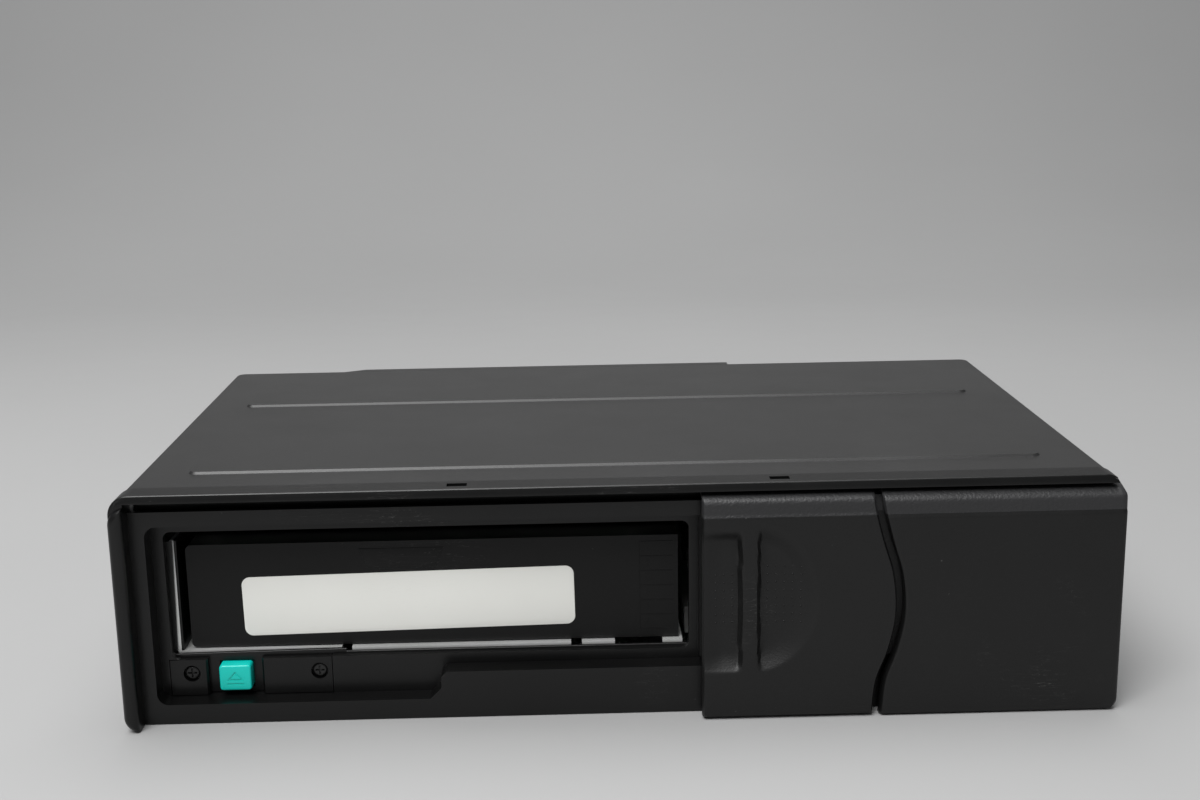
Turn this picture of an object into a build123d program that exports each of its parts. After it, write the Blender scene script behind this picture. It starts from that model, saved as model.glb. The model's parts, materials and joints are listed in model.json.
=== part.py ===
from build123d import *
import os
from math import atan2, cos, degrees, hypot, pi, radians, sin, sqrt, tan

os.makedirs("parts", exist_ok=True)

# A car CD changer. X runs to the right seen from the front, Y to the back, Z up.
# The origin is the middle of the box round the object, at its base. Depths behind
# the flat front face are written as d and turned into Y by back().

# ------------------------------------------------------------ overall sizes
WIDTH = 265.0  # over the front bezel
BODY_DEPTH = 160.0  # front face to the back of the case
TAIL = 4.0  # how far the socket stands out behind the case
HEIGHT = 65.0  # table to the top of the bezel's collar
RUN = 0.3  # gap between pieces that move past each other
FIT = 0.05  # radial gap of a shaft in its bearing

HALF = WIDTH / 2
FRONT = -(BODY_DEPTH + TAIL) / 2


def back(d):
    """Y of a point that lies d behind the flat front face."""
    return FRONT + d


# ------------------------------------------------------------ sheet-metal case
SHEET = 1.0
FLOOR_Z = 0.6  # underside of the floor, above the embossed feet
FLOOR_TOP = FLOOR_Z + SHEET
CASE_HALF = 130.0
CASE_TOP = HEIGHT - 0.9
COVER_GAP = 0.2  # between the cover's sides and the chassis
CASE_FRONT = 9.6
CASE_REAR = BODY_DEPTH
COVER_LOW = 2.6
REAR_CORNER_R = 3.0
REAR_LIP_Z = HEIGHT - 13.0
CHASSIS_HALF = CASE_HALF - SHEET - COVER_GAP
CHASSIS_REAR = CASE_REAR - SHEET - COVER_GAP
RIB_HALF = 117.0
RIB_STARTS = (25.0, 106.0)
RIB_BROAD = 19.0
RIB_HIGH = 0.6
TAB_X = (-92.0, -85.0, 44.2)
TAB_OUT = 3.0
FOOT_R = 9.0
FOOT_X = 105.0
FOOT_D = (32.0, 138.0)
MOUNT_HOLE_R = 2.1
MOUNT_HOLE_D = (50.0, 120.0)
MOUNT_HOLE_Z = 24.0
DIAL_R = 9.0
DIAL_D = 85.0
DIAL_Z = 40.0
DIAL_HUB_R = 5.0
DIAL_OUT = 0.8
COVER_SCREW_R = 1.45
COVER_SCREW_HEAD_R = 2.8
COVER_SCREW_HEAD = 1.1
COVER_SCREW_D = (24.0, 146.0)
COVER_SCREW_Z = 10.0
SOCKET_X = (-104.0, -72.0)
SOCKET_Z = (REAR_LIP_Z - 14.0, REAR_LIP_Z)

# ------------------------------------------------------------ front bezel
COLLAR_LOW = HEIGHT - 2.2
COLLAR_LIP = HEIGHT - 1.0  # underside of the collar's thin front edge
COLLAR_D = 2.0
SLAB_REAR = 9.5
FACE_D = 6.0  # the recessed face of the bezel
CHEEK_X = -128.5  # inner side of the left cheek
SPIGOT_HALF = CHASSIS_HALF - SHEET - COVER_GAP
SPIGOT_LOW = FLOOR_TOP + COVER_GAP
SPIGOT_REAR = 15.0
COLLAR_R = 5.5
COLLAR_EDGE_R = 0.5
LOW_LEFT_R = 4.0
PANEL_R = 3.0
CHEEK_TOP = HEIGHT - 3.2
CHEEK_ROUND = 1.8
MOUTH_X = (-124.6, 21.0)
MOUTH_TOP = HEIGHT - 9.8
MOUTH_LOW = 5.4
LIP_STEP_X = -48.6
LIP_TOP = 13.0
SILL_Z = 15.9
SILL_D = 12.0
MOUTH_R = 3.0
INNER_X = (-121.4, 18.6)
INNER_TOP = HEIGHT - 13.0
RAIL_TOP = HEIGHT - 5.7
RAIL_BACK = 7.4
CHANNEL_FLOOR = HEIGHT - 8.4
CHANNEL_BACK = 10.2
CHANNEL_RIGHT = 129.2
BEZEL_WALL = 2.4
LATCH_SLOTS = ((-45.1, -39.8), (39.4, 44.6))
LATCH_SLOT_D = (4.6, 7.4)
GUIDE_END_X = 70.0

# ------------------------------------------------------------ door and panel
DOOR_LEFT = 21.3
DOOR_LOW = 0.4
DOOR_T = 3.7
DOOR_TRAVEL = 149.0
CREASE_Z = HEIGHT - 9.0
BAND_TOP = HEIGHT - 4.9
DOOR_TOP = HEIGHT - 3.7
DOOR_TOP_REAR = HEIGHT - 2.7
DOOR_INNER_TOP = HEIGHT - 4.3
HOOK_D = (8.8, 9.9)
HOOK_LOW = HEIGHT - 7.2
HOOK_INSET = 4.0  # the hook starts this far from the door's left edge
WAVE = ((66.6, 0.0), (67.7, 10.2), (70.7, 18.6), (72.6, 28.5), (71.8, 39.5), (68.9, 49.2), (66.9, 57.0), (66.1, 63.0))
WAVE_GAP = 2.1
PILL_X = 30.5
PILL_Z = (13.0, 52.3)
MOON_X = (36.4, 52.0)
GRIP_DEEP = 2.0
GRIP_SLOPE = 35.0  # degrees
GRIP_CORNER_R = 3.0
FOOT_TONGUE_X = (56.0, 66.0)
SHUTTER_X = (21.6, 128.6)
SHUTTER_D = (4.2, 5.5)
SHUTTER_TOP = (HEIGHT - 5.4, HEIGHT - 4.6)
SHUTTER_LIP_D = (7.7, 8.5)
SHUTTER_LIP_LOW = HEIGHT - 7.6

# ------------------------------------------------------------ eject button
PLATE_X = (-122.1, -78.5)
PLATE_Z = (5.6, 15.7)
PLATE_T = 3.0
POCKET_X = (-112.0, -97.4)
POCKET_DEEP = 2.0
BUTTON_X = (-108.8, -100.2)
BUTTON_Z = (7.2, 14.4)
BUTTON_FRONT = 10.6
BUTTON_TRAVEL = 2.0
BACKING_D = (15.0, 16.5)
FLANGE_D = (16.8, 17.8)
PLATE_SCREWS_X = (-116.4, -81.9)
PLATE_SCREW_Z = 11.8
SWITCH_D = 24.0

# ------------------------------------------------------------ magazine
MAG_X = (-117.0, 16.0)
MAG_D = (17.0, 153.0)
MAG_Z = (17.4, 46.6)
MAG_WALL = 1.2
MAG_FRONT_T = 2.0
TRAYS = 6
TRAY_PITCH = 4.1
TRAY_T = 2.6
TRAY_Z = 20.1  # underside of the lowest tray
TRAY_X = (-115.2, 15.0)
TRAY_TRAVEL = 92.0
DISC_R = 60.0
LABEL_X = (-102.3, -13.2)
LABEL_Z = (21.0, 37.6)
LABEL_T = 0.15
EJECT_TRAVEL = 24.0

# ------------------------------------------------------------ mechanism
TRAY_MID_X = (TRAY_X[0] + TRAY_X[1]) / 2
SPINDLE_X = TRAY_MID_X + TRAY_TRAVEL
SPINDLE_D = (MAG_D[0] + MAG_D[1]) / 2
FRAME_X = (18.0, 127.0)
FRAME_D = (16.2, 157.2)
FRAME_Z = (2.2, HEIGHT - 5.0)
POST_R = 1.5
POSTS = ((22.9, 153.2), (112.0, 153.2), (28.5, 17.6))
BUSH_R = 3.0
DECK_X = (19.5, 122.4)
DECK_D = (40.6, 152.0)
DECK_Z = (9.0, 10.2)
LIFT = TRAY_PITCH * (TRAYS - 1) + 6.1
ROD_R = 1.25
SCREW_R = 1.5
SLED_D = (101.0, 114.5)
SLED_TRAVEL = 33.0
SLED_RODS = 15.0
SLED_SCREW_X = SPINDLE_X + 22.0
AXLE_Z = 14.0
LOAD_ROD_D = 43.5
LOAD_SCREW_D = 49.0
MODULE_SMALL = 0.6
SMALL_TEETH = 12
CAM_X = (124.6, 125.8)
CAM_TRAVEL = 24.0
CAM_PINS = (72.0, 116.0)
CAM_PIN_R = 1.5
CAM_Z = (4.4, 43.0)
GEAR_Z = (4.4, 5.6)
GEAR_TEETH = 24
PINION_TEETH = 10
GEAR_D = 46.0
MESH_GAP = 0.12
RACK_X = 119.5
RACK_STARTS = -2  # first tooth, counted from the lift gear
RACK_TEETH = 12
CLAMP_PIN = (148.0, 53.5)
CLAMP_Z = (49.2, 50.4)
CLAMPER_LOW = 46.0
BOARD_Z = HEIGHT - 13.0
BOARD_T = 1.6
BOARD_X = (-120.0, 12.0)
BOARD_D = (24.0, 152.0)
BOARD_POSTS_X = (-112.0, 4.0)
BOARD_POSTS_D = (30.0, 140.0)
CHIPS = ((-60, 60, 14, 14, 2.0), (-30, 60, 10, 18, 2.4), (-30, 100, 12, 12, 2.0),
         (-75, 100, 24, 8, 3.0), (-105, 50, 12, 8, 4.0), (-8, 130, 16, 6, 5.0))  # x, d, wide, deep, high
CANS = ((-100, 80, 4, 8), (-100, 92, 4, 8), (-100, 104, 3, 6), (-50, 130, 5, 7), (0, 50, 3, 6))  # x, d, r, high
SOCKET_PINS = 8


# ------------------------------------------------------------ shared shapes
def block(x, d, z, mode=Mode.ADD):
    """A cuboid between pairs of X, depth behind the front, and Z."""
    with BuildSketch(Plane.XY.offset(z[0])) as outline:
        with Locations(((x[0] + x[1]) / 2, back((d[0] + d[1]) / 2))):
            Rectangle(x[1] - x[0], d[1] - d[0])
    extrude(outline.sketch, amount=z[1] - z[0], mode=mode)


def upright(x, d, z, radius, mode=Mode.ADD):
    """A vertical cylinder."""
    with BuildSketch(Plane.XY.offset(z[0])) as outline:
        with Locations((x, back(d))):
            Circle(radius)
    extrude(outline.sketch, amount=z[1] - z[0], mode=mode)


def along_x(x, d, z, radius, mode=Mode.ADD):
    """A cylinder whose axis runs left to right."""
    with BuildSketch(Plane.YZ.offset(x[0])) as outline:
        with Locations((back(d), z)):
            Circle(radius)
    extrude(outline.sketch, amount=x[1] - x[0], mode=mode)


def along_y(x, d, z, radius, mode=Mode.ADD):
    """A cylinder whose axis runs front to back."""
    with BuildSketch(Plane.XZ.offset(-back(d[1]))) as outline:
        with Locations((x, z)):
            Circle(radius)
    extrude(outline.sketch, amount=d[1] - d[0], mode=mode)


def front_prism(d, outline, mode=Mode.ADD):
    """A sketch drawn in X and Z, carried through the depths d."""
    extrude(outline.moved(Location((0, back(d[1]), 0))), amount=d[1] - d[0], dir=(0, -1, 0), mode=mode)


def front_plane(d):
    """Upright plane facing the viewer, d behind the front face."""
    return Plane.XZ.offset(-back(d))


def save(piece, name):
    """Label a finished piece and write its file."""
    piece.part.label = name
    export_step(piece.part, f"parts/{name}.step")


def gear_outline(module, teeth, turned, thin=0.08):
    """Involute spur gear. A tooth stands at the angle turned, in degrees."""
    pitch_r = module * teeth / 2
    base_r = pitch_r * cos(radians(20))
    tip_r = pitch_r + 0.9 * module
    root_r = pitch_r - 1.2 * module
    half_pitch = pi / teeth / 2 - thin * module / pitch_r / 2

    def roll(radius):
        t = sqrt(max(radius * radius / base_r / base_r - 1, 0))
        return t - atan2(t, 1)

    radii = [max(base_r, root_r) + (tip_r - max(base_r, root_r)) * i / 3 for i in range(4)]
    half = [half_pitch + roll(pitch_r) - roll(r) for r in radii]
    radii = [root_r] + radii
    half = [half[0]] + half
    points = []
    for k in range(teeth):
        mid = radians(turned) + 2 * pi * k / teeth
        points += [(r * cos(mid - a), r * sin(mid - a)) for r, a in zip(radii, half)]
        points += [(r * cos(mid + a), r * sin(mid + a)) for r, a in zip(radii[::-1], half[::-1])]
    return points


# ------------------------------------------------------------ bottom chassis
with BuildPart() as bottom_chassis:
    block((-CHASSIS_HALF, CHASSIS_HALF), (CASE_FRONT, CHASSIS_REAR), (FLOOR_Z, FLOOR_TOP))
    for side in (-1, 1):
        wall = sorted((side * CHASSIS_HALF, side * (CHASSIS_HALF - SHEET)))
        block(wall, (CASE_FRONT, CHASSIS_REAR), (FLOOR_Z, CASE_TOP - SHEET - COVER_GAP))
        for d in MOUNT_HOLE_D:
            along_x(wall, d, MOUNT_HOLE_Z, MOUNT_HOLE_R, Mode.SUBTRACT)
        for d in COVER_SCREW_D:
            along_x(wall, d, COVER_SCREW_Z, COVER_SCREW_R, Mode.SUBTRACT)
        along_x(wall, DIAL_D, DIAL_Z, DIAL_HUB_R + RUN, Mode.SUBTRACT)
        for d in FOOT_D:
            upright(side * FOOT_X, d, (0, FLOOR_Z), FOOT_R)
    block((-CHASSIS_HALF, CHASSIS_HALF), (CHASSIS_REAR - SHEET, CHASSIS_REAR), (FLOOR_Z, CASE_TOP - SHEET - COVER_GAP))
    fillet(bottom_chassis.edges().filter_by(Axis.Z).group_by(Axis.Y)[-1], radius=SHEET)
    block(SOCKET_X, (CHASSIS_REAR - 2 * SHEET, CHASSIS_REAR + SHEET), SOCKET_Z, Mode.SUBTRACT)
save(bottom_chassis, "bottom_chassis")

# ------------------------------------------------------------ top cover
with BuildPart() as top_cover:
    block((-CASE_HALF, CASE_HALF), (CASE_FRONT, CASE_REAR), (COVER_LOW, CASE_TOP))
    fillet(top_cover.edges().filter_by(Axis.Z).group_by(Axis.Y)[-1], radius=REAR_CORNER_R)
    fillet(top_cover.faces().sort_by(Axis.Z)[-1].edges().group_by(Axis.Y)[1:], radius=0.7)
    with BuildSketch(Plane.XY.offset(COVER_LOW)) as inside:
        with Locations((0, back((CASE_FRONT + CASE_REAR - SHEET) / 2 - 5))):
            Rectangle(2 * (CASE_HALF - SHEET), CASE_REAR - SHEET - CASE_FRONT + 10)
        fillet(inside.vertices().group_by(Axis.Y)[-1], radius=SHEET)
    extrude(inside.sketch, amount=CASE_TOP - SHEET - COVER_LOW, mode=Mode.SUBTRACT)
    block((-CASE_HALF + REAR_CORNER_R, CASE_HALF - REAR_CORNER_R), (CASE_REAR - 2 * SHEET, CASE_REAR + SHEET),
          (COVER_LOW, REAR_LIP_Z), Mode.SUBTRACT)
    for start in RIB_STARTS:
        with BuildSketch(Plane.XY.offset(CASE_TOP)) as rib:
            with Locations((0, back(start + RIB_BROAD / 2))):
                RectangleRounded(2 * RIB_HALF, RIB_BROAD, 2.5)
        extrude(rib.sketch, amount=RIB_HIGH, taper=45)
    with BuildSketch(Plane.XY.offset(CASE_TOP - SHEET)) as tab:
        with BuildLine():
            Polyline((TAB_X[0], back(CASE_REAR - SHEET / 2)), (TAB_X[1], back(CASE_REAR + TAB_OUT)),
                     (TAB_X[2], back(CASE_REAR + TAB_OUT)), (TAB_X[2], back(CASE_REAR - SHEET / 2)), close=True)
        make_face()
    extrude(tab.sketch, amount=SHEET)
    for side in (-1, 1):
        wall = sorted((side * CASE_HALF, side * (CASE_HALF - SHEET)))
        for d in MOUNT_HOLE_D:
            along_x(wall, d, MOUNT_HOLE_Z, MOUNT_HOLE_R, Mode.SUBTRACT)
        for d in COVER_SCREW_D:
            along_x(wall, d, COVER_SCREW_Z, COVER_SCREW_R, Mode.SUBTRACT)
        along_x(wall, DIAL_D, DIAL_Z, DIAL_R + RUN, Mode.SUBTRACT)
save(top_cover, "top_cover")

with BuildPart() as case_screws:
    for side in (-1, 1):
        for d in COVER_SCREW_D:
            along_x(sorted((side * CASE_HALF, side * (CASE_HALF + COVER_SCREW_HEAD))), d, COVER_SCREW_Z,
                    COVER_SCREW_HEAD_R)
            along_x(sorted((side * CASE_HALF, side * (CHASSIS_HALF - SHEET))), d, COVER_SCREW_Z,
                    COVER_SCREW_R - FIT)
            slot = sorted((side * (CASE_HALF + COVER_SCREW_HEAD / 2), side * (CASE_HALF + 2 * COVER_SCREW_HEAD)))
            block(slot, (d - 1.6, d + 1.6), (COVER_SCREW_Z - 0.35, COVER_SCREW_Z + 0.35), Mode.SUBTRACT)
            block(slot, (d - 0.35, d + 0.35), (COVER_SCREW_Z - 1.6, COVER_SCREW_Z + 1.6), Mode.SUBTRACT)
save(case_screws, "case_screws")

# ------------------------------------------------------------ angle dials
for side, name in ((-1, "angle_dial_left"), (1, "angle_dial_right")):
    with BuildPart() as dial:
        along_x(sorted((side * (CHASSIS_HALF + COVER_GAP / 2), side * (CASE_HALF + DIAL_OUT))), DIAL_D, DIAL_Z, DIAL_R)
        along_x(sorted((side * (CHASSIS_HALF - SHEET), side * (CHASSIS_HALF + COVER_GAP))), DIAL_D, DIAL_Z,
                DIAL_HUB_R)
        slot = sorted((side * (CASE_HALF - 0.2), side * (CASE_HALF + 2 * DIAL_OUT)))
        block(slot, (DIAL_D - 6, DIAL_D + 6), (DIAL_Z - 0.8, DIAL_Z + 0.8), Mode.SUBTRACT)
        along_x(slot, DIAL_D - 7.3, DIAL_Z, 0.6, Mode.SUBTRACT)
    save(dial, name)


# ------------------------------------------------------------ front bezel
def corner_outline(x, z, low_left, top_left, low_right, top_right):
    """Front view rectangle with its own radius at each corner."""
    with BuildSketch(Plane.XZ) as outline:
        with Locations(((x[0] + x[1]) / 2, (z[0] + z[1]) / 2)):
            Rectangle(x[1] - x[0], z[1] - z[0])
        corners = (((x[0], z[0]), low_left), ((x[0], z[1]), top_left), ((x[1], z[0]), low_right), ((x[1], z[1]), top_right))
        for corner, radius in corners:
            if radius:
                fillet(outline.vertices().sort_by_distance((*corner, 0))[0], radius)
    return outline.sketch


with BuildPart() as front_bezel:
    # the slab with the left cheek and the collar standing forward of it
    front_prism((COLLAR_D, SLAB_REAR), corner_outline((-HALF, HALF), (0, HEIGHT), LOW_LEFT_R, COLLAR_R, PANEL_R, COLLAR_R))
    front_prism((0, COLLAR_D), corner_outline((-HALF, HALF), (0, CHEEK_TOP), LOW_LEFT_R, COLLAR_R - 1, 0, 0))
    block((CHEEK_X, HALF + 1), (-1, COLLAR_D), (-1, HEIGHT + 1), Mode.SUBTRACT)
    block((CHEEK_X, HALF + 1), (-1, FACE_D), (-1, COLLAR_LIP), Mode.SUBTRACT)
    # the spigot that goes into the case's mouth
    spigot = corner_outline((-SPIGOT_HALF, SPIGOT_HALF), (SPIGOT_LOW, COLLAR_LOW), 1, 1, 1, 1)
    front_prism((SLAB_REAR, SPIGOT_REAR), spigot)
    # rail and channel along the top, where door and shutter hang
    block((CHEEK_X, CHANNEL_RIGHT), (FACE_D, CHANNEL_BACK), (RAIL_TOP, COLLAR_LOW), Mode.SUBTRACT)
    block((CHEEK_X, CHANNEL_RIGHT), (RAIL_BACK, CHANNEL_BACK), (CHANNEL_FLOOR, COLLAR_LOW), Mode.SUBTRACT)
    for slot in LATCH_SLOTS:
        block(slot, LATCH_SLOT_D, (COLLAR_LOW - 1, HEIGHT + 1), Mode.SUBTRACT)
    # the mouth: a pocket with a stepped lower lip, then the opening over the sill
    with BuildSketch(Plane.XZ) as pocket:
        with BuildLine():
            Polyline((MOUTH_X[0], MOUTH_LOW), (LIP_STEP_X - 3, MOUTH_LOW), (LIP_STEP_X, MOUTH_LOW + 3),
                     (LIP_STEP_X, LIP_TOP - 1.5), (LIP_STEP_X + 1.5, LIP_TOP), (MOUTH_X[1], LIP_TOP),
                     (MOUTH_X[1], MOUTH_TOP), (MOUTH_X[0], MOUTH_TOP), close=True)
        make_face()
        fillet(pocket.vertices().group_by(Axis.X)[0], MOUTH_R)
    front_prism((FACE_D, SILL_D), pocket.sketch, Mode.SUBTRACT)
    block((MOUTH_X[1] - 1, GUIDE_END_X), (FACE_D, SILL_D), (LIP_TOP, SILL_Z), Mode.SUBTRACT)
    front_prism((SILL_D, SPIGOT_REAR), corner_outline(INNER_X, (SILL_Z, INNER_TOP), 2, 2, 2, 2), Mode.SUBTRACT)
    # hollow behind the fixed panel, and behind the lower lip
    block((MOUTH_X[1] + BEZEL_WALL, SPIGOT_HALF - BEZEL_WALL), (SILL_D + BEZEL_WALL, SPIGOT_REAR),
          (SPIGOT_LOW + 1.8, SILL_Z + BEZEL_WALL), Mode.SUBTRACT)
    block((MOUTH_X[1] + BEZEL_WALL, SPIGOT_HALF - BEZEL_WALL), (FACE_D + BEZEL_WALL, SPIGOT_REAR),
          (SILL_Z + BEZEL_WALL, CHANNEL_FLOOR - 1.6), Mode.SUBTRACT)
    block((LIP_STEP_X + BEZEL_WALL, SPIGOT_HALF - BEZEL_WALL), (FACE_D + BEZEL_WALL, SPIGOT_REAR),
          (SPIGOT_LOW + 1.8, LIP_TOP - 1.8), Mode.SUBTRACT)
    # seat of the button plate, with the backing wall that carries its screws
    block((PLATE_X[0] - 0.2, PLATE_X[1] + 0.2), (SILL_D, BACKING_D[0]), (MOUTH_LOW, SILL_Z), Mode.SUBTRACT)
    block((PLATE_X[0] - 1.5, PLATE_X[1] + 1.5), BACKING_D, (SPIGOT_LOW, PLATE_Z[1] - 0.2))
    block((BUTTON_X[0] - RUN, BUTTON_X[1] + RUN), (SILL_D, BACKING_D[1] + 1), (BUTTON_Z[0] - RUN, BUTTON_Z[1] + RUN),
          Mode.SUBTRACT)
    for x in PLATE_SCREWS_X:
        along_y(x, BACKING_D, PLATE_SCREW_Z, 1.0, Mode.SUBTRACT)
    fillet(front_bezel.faces().sort_by(Axis.Y)[0].edges(), radius=CHEEK_ROUND)
    fillet(front_bezel.edges().filter_by(Axis.X).filter_by_position(Axis.Z, HEIGHT - 0.1, HEIGHT + 0.1)
           .filter_by_position(Axis.Y, back(COLLAR_D) - 0.1, back(COLLAR_D) + 0.1), radius=COLLAR_EDGE_R)
save(front_bezel, "front_bezel")

# ------------------------------------------------------------ button plate
with BuildPart() as button_plate:
    block(PLATE_X, (SILL_D, SILL_D + PLATE_T), PLATE_Z)
    block(POCKET_X, (SILL_D - 1, SILL_D + POCKET_DEEP), (PLATE_Z[0] - 1, PLATE_Z[1] + 1), Mode.SUBTRACT)
    chamfer(button_plate.edges().filter_by(Axis.Z).filter_by_position(Axis.Y, back(SILL_D) - 0.1, back(SILL_D) + 0.1)
            .filter_by_position(Axis.X, POCKET_X[0] - 0.1, POCKET_X[1] + 0.1), length=0.5)
    block((BUTTON_X[0] - RUN, BUTTON_X[1] + RUN), (SILL_D, SILL_D + 2 * PLATE_T), (BUTTON_Z[0] - RUN, BUTTON_Z[1] + RUN),
          Mode.SUBTRACT)
    for x in PLATE_SCREWS_X:
        along_y(x, (SILL_D - 1, SILL_D + 1.8), PLATE_SCREW_Z, 2.3, Mode.SUBTRACT)
        along_y(x, (SILL_D - 1, SILL_D + 2 * PLATE_T), PLATE_SCREW_Z, 1.1, Mode.SUBTRACT)
save(button_plate, "button_plate")

with BuildPart() as button_plate_screws:
    for x in PLATE_SCREWS_X:
        along_y(x, (SILL_D + 0.5, SILL_D + 1.8), PLATE_SCREW_Z, 2.0)
        along_y(x, (SILL_D + 1.8, BACKING_D[1]), PLATE_SCREW_Z, 1.0 - FIT)
        block((x - 1.3, x + 1.3), (SILL_D, SILL_D + 1.2), (PLATE_SCREW_Z - 0.3, PLATE_SCREW_Z + 0.3), Mode.SUBTRACT)
        block((x - 0.3, x + 0.3), (SILL_D, SILL_D + 1.2), (PLATE_SCREW_Z - 1.3, PLATE_SCREW_Z + 1.3), Mode.SUBTRACT)
save(button_plate_screws, "button_plate_screws")

# ------------------------------------------------------------ eject button
BUTTON_MID_X = (BUTTON_X[0] + BUTTON_X[1]) / 2
BUTTON_MID_Z = (BUTTON_Z[0] + BUTTON_Z[1]) / 2
with BuildPart() as eject_button:
    block(BUTTON_X, (BUTTON_FRONT, FLANGE_D[0]), BUTTON_Z)
    fillet(eject_button.edges().filter_by(Axis.Y), radius=0.6)
    fillet(eject_button.faces().sort_by(Axis.Y)[0].edges(), radius=0.5)
    block((BUTTON_X[0] - 0.9, BUTTON_X[1] + 0.9), FLANGE_D, (BUTTON_Z[0] - 0.8, BUTTON_Z[1] + 0.5))
    along_y(BUTTON_MID_X, (FLANGE_D[1], SWITCH_D - BUTTON_TRAVEL - 0.5), BUTTON_MID_Z, 1.2)
    with BuildSketch(front_plane(BUTTON_FRONT + 0.3)) as eject_sign:
        with BuildLine():
            Polyline((BUTTON_MID_X - 2.1, BUTTON_MID_Z - 0.5), (BUTTON_MID_X + 2.1, BUTTON_MID_Z - 0.5),
                     (BUTTON_MID_X, BUTTON_MID_Z + 1.6), close=True)
        make_face()
        with Locations((BUTTON_MID_X, BUTTON_MID_Z - 1.4)):
            Rectangle(4.2, 0.6)
    extrude(eject_sign.sketch, amount=1.0, mode=Mode.SUBTRACT)
save(eject_button, "eject_button")

SPRING_R = 2.2
with BuildPart() as eject_button_spring:
    along_y(BUTTON_MID_X, (FLANGE_D[1] + 0.1, SWITCH_D - 0.1), BUTTON_MID_Z, SPRING_R)
    along_y(BUTTON_MID_X, (FLANGE_D[1], SWITCH_D), BUTTON_MID_Z, SPRING_R - 0.5, Mode.SUBTRACT)
save(eject_button_spring, "eject_button_spring")

with BuildPart() as eject_switch:
    block((BUTTON_X[0] - 5, BUTTON_X[1] + 5), (SWITCH_D, SWITCH_D + 1.6), (FLOOR_TOP, BUTTON_Z[1] + 0.3))
    block((BUTTON_X[0], BUTTON_X[1]), (SWITCH_D + 1.6, SWITCH_D + 6), (BUTTON_Z[0], BUTTON_Z[1]))
    block((BUTTON_X[0] - 5, BUTTON_X[1] + 5), (SWITCH_D + 1.6, SWITCH_D + 9), (FLOOR_TOP, FLOOR_TOP + 1))
save(eject_switch, "eject_switch")


# ------------------------------------------------------------ door, panel, shutter
def wave_points(shift):
    """The wavy joint between door and panel, from below to above them, moved by shift."""
    return [(x + shift, z) for x, z in WAVE]


def sink(outline):
    """A finger recess whose rim is the outline and whose walls slope in to its floor."""
    extrude(outline.moved(Location((0, FRONT, 0))), amount=GRIP_DEEP, dir=(0, 1, 0), taper=GRIP_SLOPE, mode=Mode.SUBTRACT)


with BuildPart() as sliding_door:
    with BuildSketch(Plane.YZ.offset(DOOR_LEFT)) as door_side:
        with BuildLine():
            Polyline((back(0.8), DOOR_LOW), (back(0), DOOR_LOW + 0.8), (back(0), CREASE_Z), (back(0.1), CREASE_Z + 0.2),
                     (back(0.3), BAND_TOP))
            ThreePointArc((back(0.3), BAND_TOP), (back(0.62), DOOR_TOP - 0.32), (back(1.3), DOOR_TOP))
            Polyline((back(1.3), DOOR_TOP), (back(FACE_D), DOOR_TOP_REAR), (back(HOOK_D[1]), DOOR_TOP_REAR),
                     (back(HOOK_D[1]), HOOK_LOW), (back(HOOK_D[0]), HOOK_LOW), (back(HOOK_D[0]), DOOR_INNER_TOP),
                     (back(DOOR_T), DOOR_INNER_TOP), (back(DOOR_T), DOOR_LOW), (back(0.8), DOOR_LOW))
        make_face()
    extrude(door_side.sketch, amount=60)
    with BuildSketch(Plane.XZ) as door_front:
        with BuildLine():
            Spline(*wave_points(0))
            Polyline(WAVE[-1], (DOOR_LEFT, WAVE[-1][1]), (DOOR_LEFT, WAVE[0][1]), WAVE[0])
        make_face()
    front_prism((-1, HOOK_D[1] + 1), door_front.sketch, Mode.INTERSECT)
    with BuildSketch(Plane.XZ) as pill:
        with Locations(((DOOR_LEFT - 2 * GRIP_DEEP + PILL_X) / 2, sum(PILL_Z) / 2)):
            Rectangle(PILL_X - DOOR_LEFT + 2 * GRIP_DEEP, PILL_Z[1] - PILL_Z[0])
        fillet(pill.vertices().group_by(Axis.X)[-1], GRIP_CORNER_R)
    sink(pill.sketch)
    with BuildSketch(Plane.XZ) as moon:
        with BuildLine():
            ThreePointArc((MOON_X[0], PILL_Z[1]), (MOON_X[1], sum(PILL_Z) / 2 + 1), (MOON_X[0], PILL_Z[0]))
            Line((MOON_X[0], PILL_Z[0]), (MOON_X[0], PILL_Z[1]))
        make_face()
        fillet(moon.vertices(), GRIP_CORNER_R)
    sink(moon.sketch)
    block((DOOR_LEFT - 1, DOOR_LEFT + HOOK_INSET), (FACE_D, HOOK_D[1] + 1), (HOOK_LOW - 1, HEIGHT), Mode.SUBTRACT)
    block(FOOT_TONGUE_X, (DOOR_T, SILL_D - 1), (LIP_TOP + RUN, SILL_Z - RUN - 0.1))
save(sliding_door, "sliding_door")

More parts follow.
